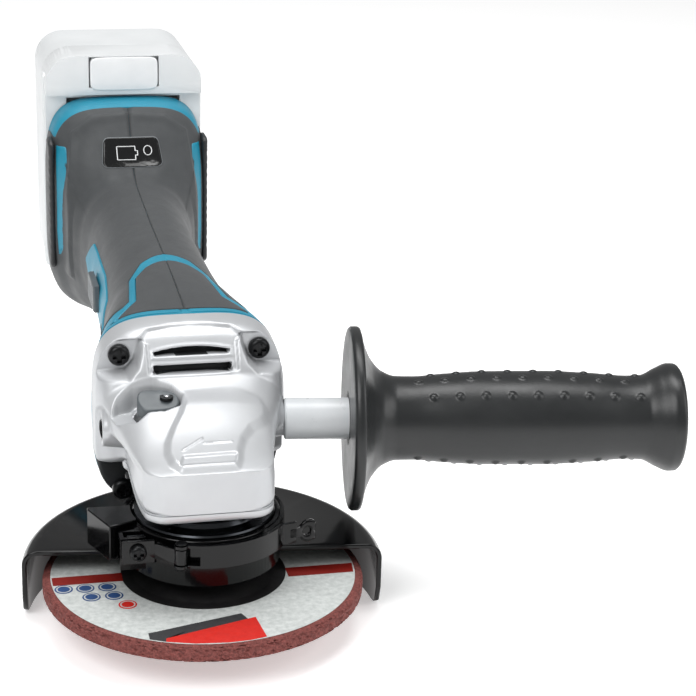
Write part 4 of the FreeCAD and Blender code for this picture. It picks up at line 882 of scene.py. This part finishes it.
def make_grip_skin(side, name, node):
    """The soft grip: from the lip round the front pad back to the teal rim, half of the body each side."""
    front, back = 63, 236.4
    rows = even_rows(front, back, 0.95)
    lip = np.where(rows < 111, straight_through(LIP_OUTLINE, np.minimum(rows, 111)), 0.05)
    share = np.concatenate([EDGE_SHARES, np.linspace(0.022, 0.99, 130), 1 - EDGE_SHARES[::-1] * 0.5])
    start = turn_at(rows, np.maximum(lip, 0.05))
    turn = start[:, None] + (np.pi - 0.0005 - start[:, None]) * share
    front_z = body_point(rows[:1, None], turn[:1], 0.0)[1]
    back_z = body_point(rows[-1:, None], turn[-1:], 0.0)[1]
    # low down it reaches forward to the lower flange, and below the rim it reaches back to the battery
    first = front - 14.6 * ramp(front_z - 44, 8)
    last = back + 12.9 * ramp(back_z - 121, 3)
    y = first + (rows[:, None] - front) * (last - first) / (back - front)
    x0, z0 = body_point(y, turn, 0.0)
    walk = np.hypot(np.diff(x0, axis=1), np.diff(z0, axis=1))
    walk = np.hstack([np.zeros((len(rows), 1)), np.cumsum(walk, axis=1)])
    lift = 0.35 - edge_round(walk, 0.5, np.where(rows < 111, 0.9, 0.35)[:, None])
    lift -= edge_round(y - first, 1.0, 1.0) + edge_round(last - y, 1.0, 1.0)
    arch = [(-29.5, 60), (-29.5, 98), (-26, 125), (-17, 131.5), (0, 133), (17, 131.5), (26, 125),
            (29.5, 98), (29.5, 60)]
    band = np.abs(outline_distance(x0, z0, arch, 0.0)) * (y > 214) + 9 * (y <= 214)
    lift += 1.5 * ramp(band - 0.8, 3.6)
    dip = [(10, 104), (17, 108), (24, 104), (25.5, 90), (25, 66), (21, 72), (20, 88)]
    lift -= 1.25 * ramp(outline_distance(x0, z0, dip, 1.0), 8) * ramp(np.abs(y - 212) - 7, 8)
    x, z = body_point(y, turn, lift)
    piece = skin(name, np.stack([x, y, z], -1), soft_grip, side)
    thicken(piece, 1.1)
    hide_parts(node)
    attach(piece, "tool")


def make_front_pad(side, name, node):
    """The soft pad on the flare behind the gear head, with a raised teal lip left showing round it."""
    front = 52.2
    rows = even_rows(front, 102.9, 0.8)
    edge = straight_through(PAD_OUTLINE, rows)
    inner = turn_at(rows, np.full(len(rows), 0.05))
    outer = turn_at(rows, np.maximum(edge, 0.08))
    share = np.concatenate([EDGE_SHARES * 2, np.linspace(0.04, 0.96, 50), 1 - EDGE_SHARES[::-1] * 2])
    turn = inner[:, None] + (outer - inner)[:, None] * share
    y = np.broadcast_to(rows[:, None], turn.shape)
    x0, z0 = body_point(y, turn, 0.0)
    lift = 0.55 - edge_round(np.abs(x0 - 0.05), 0.4, 0.35) - edge_round(edge[:, None] - x0, 0.8, 0.9)
    lift -= edge_round(y - front, 0.8, 0.9)
    x, z = body_point(y, turn, lift)
    piece = skin(name, np.stack([x, y, z], -1), soft_grip, side)
    thicken(piece, 1.0)
    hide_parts(node)
    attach(piece, "tool")


def make_lip(side, name):
    """The teal lip: the band left between the front pad and the grip, rounded at both edges."""
    rows = even_rows(49.2, 110.9, 0.8)
    outer = straight_through([(49, 35)] + LIP_OUTLINE, rows)
    pad_edge = straight_through([(49, 0.15), (51.4, 0.15), (51.9, 27.6)] + PAD_OUTLINE[1:], rows)
    inner = np.where(rows < 103, pad_edge, 0.15)
    inner = np.where(rows < 51.8, 0.15, inner + 0.35 * (rows < 102.6))
    start = turn_at(rows, inner)
    end = turn_at(rows, np.maximum(outer - 0.25, inner + 0.05))
    share = np.concatenate([EDGE_SHARES * 4, np.linspace(0.08, 0.92, 24), 1 - EDGE_SHARES[::-1] * 4])
    turn = start[:, None] + (end - start)[:, None] * share
    y = np.broadcast_to(rows[:, None], turn.shape)
    x0, z0 = body_point(y, turn, 0.0)
    lift = 0.35 - edge_round(x0 - inner[:, None], 0.6, 0.5)
    lift -= edge_round(outer[:, None] - 0.25 - x0, 0.6, 0.5)
    x, z = body_point(y, turn, lift)
    piece = skin(name, np.stack([x, y, z], -1), teal_plastic, side)
    thicken(piece, 0.8)
    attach(piece, "tool")


def front_patch(name, outline, lift, thickness, finish, side):
    """A patch laid on the rear flare: the outline's two long sides (x at each height z) joined across."""
    steps = 26
    outline = np.array(outline, float)
    height = np.linspace(outline[0, 0], outline[-1, 0], 60)
    left = np.interp(height, outline[:, 0], outline[:, 1])
    right = np.interp(height, outline[:, 0], outline[:, 2])
    across = np.linspace(0, 1, steps)
    x = left[:, None] + (right - left)[:, None] * across
    z = np.broadcast_to(height[:, None], x.shape)
    edge_x = np.minimum(x - left[:, None], right[:, None] - x)
    edge = np.minimum(edge_x, np.minimum(z - height[0], height[-1] - z))
    y = front_depth(x, z) - lift + edge_round(edge, 0.9, 0.8)
    piece = skin(name, np.stack([x, y, z], -1), finish, side)
    thicken(piece, thickness)
    return piece


for side, name in ((1, "right"), (-1, "left")):
    make_grip_skin(side, f"grip_skin_{name}", f"grip_overmold_{name}")
    make_front_pad(side, f"front_pad_skin_{name}", f"front_pad_{name}")
    make_lip(side, f"teal_lip_{name}")
    strip = front_patch(f"rear_teal_strip_{name}",
                        [(66, 33.6, 34.6), (77, 29.8, 35.2), (118.6, 29.8, 34.8), (119.8, 30.4, 34.2)],
                        0.9, 1.4, teal_plastic, side)
    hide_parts(f"dust_cover_{name}")
    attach(strip, "tool")


def make_side_bar(side, name):
    """The dark cover over the air intake on the side of the flare: a slim upright box with rounded edges
    and a row of shallow slots."""
    height = np.linspace(58, 122, 66)
    turn = np.linspace(0, 2 * np.pi, 32, endpoint=False)
    cross_x, cross_y = rounded_square(turn, 0.5)
    taper = np.minimum(1, np.minimum((height - 57.6) / 3, (122.4 - height) / 2)) ** 0.5
    groove = 0.2 * (np.cos(2 * np.pi * height / 4.2) > 0.3) * (height > 64) * (height < 117)
    x = 36.9 + (1.5 * taper - groove)[:, None] * cross_x
    y = 236.5 + (6.5 * taper)[:, None] * cross_y
    z = np.broadcast_to(height[:, None], x.shape)
    points = np.stack([x, y, z], -1) * (side, 1, 1)
    piece = closed_tube(f"intake_cover_{name}", points, [black_plastic], None, 45)
    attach(piece, "tool")


make_side_bar(1, "right")
make_side_bar(-1, "left")


def make_switch_plate():
    """The teal plate round the slide switch: a patch of the body's left side between two heights,
    narrowing to a point at its rear end."""
    front, back = 104, 192
    rows = np.linspace(front, back, 90)
    upper = straight_through([(front, 84), (128, 87.5), (176, 87.5), (back, 76)], rows)
    lower = straight_through([(front, 66), (128, 63.5), (176, 64), (back, 74.5)], rows)
    height = lower[:, None] + (upper - lower)[:, None] * np.linspace(0, 1, 30)
    y = np.broadcast_to(rows[:, None], height.shape)
    half, low, high, power = section_values(y)
    share = (height - (low + high) / 2) / ((high - low) / 2)
    turn = np.arccos(np.sign(share) * np.abs(share) ** (power / 2))
    edge_z = np.minimum(height - lower[:, None], upper[:, None] - height)
    edge = np.minimum(edge_z, np.minimum(y - front, back - y))
    x, z = body_point(y, turn, 1.0 - edge_round(edge, 0.9, 0.9))
    piece = skin("switch_surround", np.stack([x, y, z], -1), teal_plastic, -1)
    thicken(piece, 1.2)
    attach(piece, "tool")


make_switch_plate()


def make_panel():
    """The indicator panel: a glossy rounded trapezoid with a pale rim, a battery sign and a ring."""
    low, high, corner_radius = 112.6, 124.8, 2.4
    middle = (low + high) / 2
    height = np.concatenate([[low], np.linspace(low + 0.3, high - 0.3, 24), [high]])
    rim = 14.6 - 1.6 * (height - low) / (high - low)
    corner = np.minimum(1, np.minimum(height - low, high - height) / corner_radius)
    half = rim - corner_radius * (1 - np.sqrt(1 - (1 - corner) ** 2))
    across = np.linspace(-1, 1, 33)
    x = half[:, None] * across
    z = np.broadcast_to(height[:, None], x.shape)
    layers = [("panel_rim", 1.0, 0.75, grey_plastic), ("indicator_window", 0.982, 0.9, panel_gloss)]
    for name, shrink, lift, finish in layers:
        sx = x * shrink
        sz = middle + (z - middle) * (1 - (1 - shrink) * 1.9)
        y = front_depth(sx, sz) - lift
        piece = skin(name, np.stack([sx, y, sz], -1), finish, 1)
        thicken(piece, 1.2)
        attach(piece, "tool")
        if name == "indicator_window":
            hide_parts("indicator_panel")
    twelfth = math.pi / 12
    signs = {
        "battery_sign": [(-7, 115.6), (1.6, 115.6), (1.6, 117.4), (2.7, 117.4), (2.7, 119.2), (1.6, 119.2),
                         (1.6, 121), (-7, 121), (-7, 115.6)],
        "ring_sign": [(7.6 + 1.9 * math.cos(k * twelfth), 119.2 + 1.9 * math.sin(k * twelfth))
                      for k in range(25)]}
    for name, path in signs.items():
        line_x, line_z = np.array(path).T
        dense = np.linspace(0, len(path) - 1, 8 * (len(path) - 1) + 1)
        line_x = np.interp(dense, np.arange(len(path)), line_x)
        line_z = np.interp(dense, np.arange(len(path)), line_z)
        line_y = front_depth(line_x, line_z) - 1.0
        turn = np.linspace(0, 2 * np.pi, 8, endpoint=False)
        run = np.column_stack([np.gradient(line_x), np.gradient(line_z)])
        run /= np.linalg.norm(run, axis=1)[:, None] + 1e-9
        ring = np.stack([line_x[:, None] - run[:, 1:] * 0.22 * np.cos(turn),
                         line_y[:, None] - 0.12 * np.sin(turn),
                         line_z[:, None] + run[:, :1] * 0.22 * np.cos(turn)], -1)
        piece = closed_tube(name, ring, [panel_line])
        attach(piece, "tool")


make_panel()


# ---------------------------------------------------------------- side handle

def make_handle_grip():
    """The grip as a turned surface: radius by distance from the disc's face, plus a round bump of
    0.75 mm at each place of the grip pattern, h exp(-(d/1.45)^4) at a distance d from its middle."""
    grip = [(4.9, 33.5), (6.5, 28.6), (9, 23.5), (13.5, 18.9), (19, 16.9), (26, 16.8), (38, 17.8),
            (55, 18.8), (78, 18.9), (98, 18), (113, 16.9), (119, 17.2), (125, 20), (130, 21.9),
            (132.2, 21.8), (133.6, 20.6), (134, 19)]
    along = np.linspace(4.9, 134, 300)
    radius = smooth_through(grip, along)
    disc = np.array([(0.0, 9.0), (0.0, 12), (0.0, 20), (0.0, 30), (0.0, 35.4), (0.3, 36.3), (1.1, 36.9),
                     (3.5, 36.9), (4.3, 36.4), (4.6, 35.4)])
    end = np.array([(134.0, 17.5), (133.6, 15.6), (133.4, 13.2), (133.2, 10)])
    place = np.concatenate([disc[:, 0], along, end[:, 0]])
    spread = np.concatenate([disc[:, 1], radius, end[:, 1]])
    pitch = 10.4
    turn, d = np.meshgrid(np.linspace(0, 2 * np.pi, 256, endpoint=False), place)
    r = np.broadcast_to(spread[:, None], d.shape)
    bump = np.zeros(r.shape)
    for row, lean in enumerate((10, 40, 140, 170, 190, 220, 320, 350)):
        first = 27.5 + pitch / 2 * (row % 2)
        gap = np.angle(np.exp(1j * (turn - math.radians(lean)))) * 18
        for step in range(9):
            away = np.hypot(d - first - pitch * step, gap)
            bump += np.exp(-(away / 1.45) ** 4)
    side = r + 0.75 * bump * (d > 20) * (d < 122)
    out = np.cos(turn)[..., None] * HANDLE_UP + np.sin(turn)[..., None] * HANDLE_SIDE
    spacer_length = 26
    points = HANDLE_START + (spacer_length + d)[..., None] * HANDLE_AXIS + side[..., None] * out
    piece = closed_tube("handle_grip_sleeve", points, [handle_rubber], None, 60)
    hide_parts("handle_grip")
    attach(piece, "side_handle")


make_handle_grip()


# ---------------------------------------------------------------- wheel

def make_wheel():
    """A pressed-centre wheel: a turned profile whose rim is broken by a grit pattern,
    and a thin printed label on its upper face."""
    profile = np.array([(11.1, 4.5), (19, 4.5), (27, 0.4), (29, 0), (45, 0), (61.6, 0), (62.3, 0.5),
                        (62.5, 1.2), (62.5, 4.8), (62.3, 5.5), (61.6, 6), (58, 6), (45, 6), (29, 6),
                        (27, 6.3), (19, 10.5), (11.1, 10.5)])
    run = np.concatenate([[0], np.cumsum(np.hypot(*np.diff(profile, axis=0).T))])
    stops = np.unique(np.concatenate([np.linspace(0, run[-1], 150), run]))
    radius = np.interp(stops, run, profile[:, 0])
    height = np.interp(stops, run, profile[:, 1])
    segments = 420
    angle = np.linspace(0, 2 * np.pi, segments, endpoint=False)
    grit = np.random.default_rng(7).normal(0, 0.33, (segments, len(radius)))
    rough = grit * np.clip((radius - 59.5) / 2, 0, 1)
    spread = radius + np.minimum(rough, 0.1)
    points = np.stack([np.cos(angle)[:, None] * spread, np.sin(angle)[:, None] * spread,
                       np.broadcast_to(height, spread.shape) - 0.6 * np.abs(rough) * (height > 3)], -1)
    faces = grid_faces(segments, len(radius), True, True)
    wheel = add_piece("grinding_wheel_disc", points.reshape(-1, 3), [faces], [bonded_abrasive], None, 60)
    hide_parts("grinding_wheel")
    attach(wheel, "spindle_set")
    label_profile = [(31, 6.02), (59.4, 6.02), (59.5, 6.12), (59.4, 6.2), (31, 6.2)]
    ring_profile = [(19, 10.3), (27, 6.2), (28.2, 6.02), (32.2, 6.04), (32.3, 6.22), (28.4, 6.28),
                    (27.2, 6.5), (19, 10.7)]
    prints = [turned_ring("wheel_label", label_profile, 180, [label_paper]),
              turned_ring("wheel_label_centre", ring_profile, 128, [label_black])]
    prints.append(flat_patch("wheel_label_band_right", [(32, -10.6), (58, -10.6), (59, -3), (32, -3)],
                             6.1, 6.3, label_dark_red))
    prints.append(flat_patch("wheel_label_band_left", [(-59, -3.4), (-32, -3.4), (-32, 3.4), (-59, 3.4)],
                             6.1, 6.3, label_dark_red))
    prints.append(flat_patch("wheel_label_red_wedge",
                             [(-22, -52.4), (13.2, -41.4), (14.6, -57.2), (8, -58.8), (0, -59.2),
                              (-12, -58), (-22.4, -54.8)], 6.1, 6.32, label_red))
    prints.append(flat_patch("wheel_label_dark_wedge",
                             [(-28, -47.4), (8.4, -37.6), (10.2, -42.4), (-22, -52.4), (-22.4, -54.8),
                              (-28, -52)], 6.1, 6.28, label_dark_grey))
    turn = np.linspace(0, 2 * np.pi, 36, endpoint=False)
    places = [(-55.2, -7), (-47, -7.4), (-38.6, -7.6), (-45.4, -15), (-36.8, -15.2), (-32.6, -23.4)]
    ring = [(2.4, 6.28), (2.9, 6.28), (2.9, 6.36), (2.4, 6.36)]
    for number, (px, py) in enumerate(places, start=1):
        spot = np.column_stack([px + 3.5 * np.cos(turn), py + 3.5 * np.sin(turn)])
        ink = label_red if number == len(places) else label_blue
        prints.append(flat_patch(f"wheel_label_spot_{number}", spot, 6.1, 6.3, ink))
        prints.append(turned_ring(f"wheel_label_spot_ring_{number}", ring, 32, [label_paper], (px, py, 0)))
    for piece in prints:
        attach(piece, "spindle_set")


make_wheel()


# ---------------------------------------------------------------- softened parts of the frame

LOOSE_FLATS = ("guard_pressing", "battery_front_cover")
for name, source, width, finish, slot_name, body, change in [
    ("guard_pressing", "guard", 0.5, black_paint, "black_paint", "guard_set", round_skirt),
    ("guard_catch_block", "guard_catch", 1.6, black_paint, "black_paint", "guard_set", None),
    ("clamp_band_strip", "clamp_band", 0.45, black_paint, "black_paint", "guard_set", squeeze_band),
    ("clamp_link_plate", "clamp_link", 0.5, black_paint, "black_paint", "guard_set", squeeze_all),
    ("clamp_lever_strip", "clamp_lever", 0.6, black_paint, "black_paint", "lever", squeeze_lever),
    ("lever_pivot_pin", "lever_pin", 0.3, black_screws, "black_screws", "guard_set", squeeze_all),
    ("battery_front_cover", "battery_case_front", 1.8, battery_plastic, "battery_plastic", "battery", None),
    ("battery_rear_cover", "battery_case_rear", 0.8, battery_plastic, "battery_plastic", "battery", None),
    ("slide_switch_knob", "switch_knob", 0.8, dark_button, "dark_button", "switch_slider", None),
]:
    piece = softened(name, source, width, finish, name not in LOOSE_FLATS, change)
    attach(piece, body)


# ---------------------------------------------------------------- camera, light and floor

def aim(origin, right, up):
    """A camera or light matrix from its place and its right and up directions."""
    right = Vector(right).normalized()
    up = (Vector(up) - right * right.dot(Vector(up))).normalized()
    back = right.cross(up)
    turn = Matrix((right, up, back)).transposed().to_4x4()
    return Matrix.Translation(origin) @ turn


def make_camera():
    """The camera stands above and left of the front of the gear head."""
    lens = bpy.data.cameras.new("viewpoint")
    lens.sensor_width = 36
    lens.lens = 103.53
    lens.clip_start = 0.05
    camera = bpy.data.objects.new("viewpoint", lens)
    bpy.context.scene.collection.objects.link(camera)
    camera.matrix_world = aim((-0.11206, -0.70040, 0.36024),
                              (0.9745, -0.2227, 0.0282), (0.0508, 0.3414, 0.9385))
    bpy.context.scene.camera = camera


def soft_box(name, place, target, size, power):
    """A rectangular studio light at place that faces target, with its power in watts."""
    lamp = bpy.data.lights.new(name, "AREA")
    lamp.shape = "RECTANGLE"
    lamp.size = size[0]
    lamp.size_y = size[1]
    lamp.energy = power
    light = bpy.data.objects.new(name, lamp)
    bpy.context.scene.collection.objects.link(light)
    direction = Vector(target) - Vector(place)
    turn = direction.to_track_quat("-Z", "Y").to_matrix().to_4x4()
    light.matrix_world = Matrix.Translation(place) @ turn


def make_studio():
    """A pale floor under the lowest point, a white surround and three soft boxes."""
    lowest = cad_box[0][2]
    size = 6.0
    floor_mesh = bpy.data.meshes.new("floor")
    corners = [(-size, -size, lowest), (size, -size, lowest), (size, size, lowest), (-size, size, lowest)]
    floor_mesh.from_pydata(corners, [], [(0, 1, 2, 3)])
    floor = bpy.data.objects.new("floor", floor_mesh)
    bpy.context.scene.collection.objects.link(floor)
    # matt white paper that glows faintly, so that it stays white away from the lights
    paper = new_finish("matt_white_paper", "#F6F6F6", 0.9, 0.0,
                       Emission_Color=(1, 1, 1, 1), Emission_Strength=0.42)[0]
    floor_mesh.materials.append(paper)
    world = bpy.data.worlds.new("studio")
    world.use_nodes = True
    surround = world.node_tree.nodes["Background"]
    surround.inputs["Color"].default_value = (1, 1, 1, 1)
    surround.inputs["Strength"].default_value = 0.34
    bpy.context.scene.world = world
    bpy.context.scene.view_settings.view_transform = "Standard"
    soft_box("key", (-0.7, -0.6, 1.1), (0, 0.05, 0.05), (0.8, 0.8), 10)
    soft_box("fill", (1.0, -0.5, 0.7), (0, 0.05, 0.05), (0.7, 0.9), 5)
    soft_box("top", (0.1, 0.25, 1.3), (0, 0.1, 0.05), (1.0, 0.5), 10)


make_camera()
make_studio()
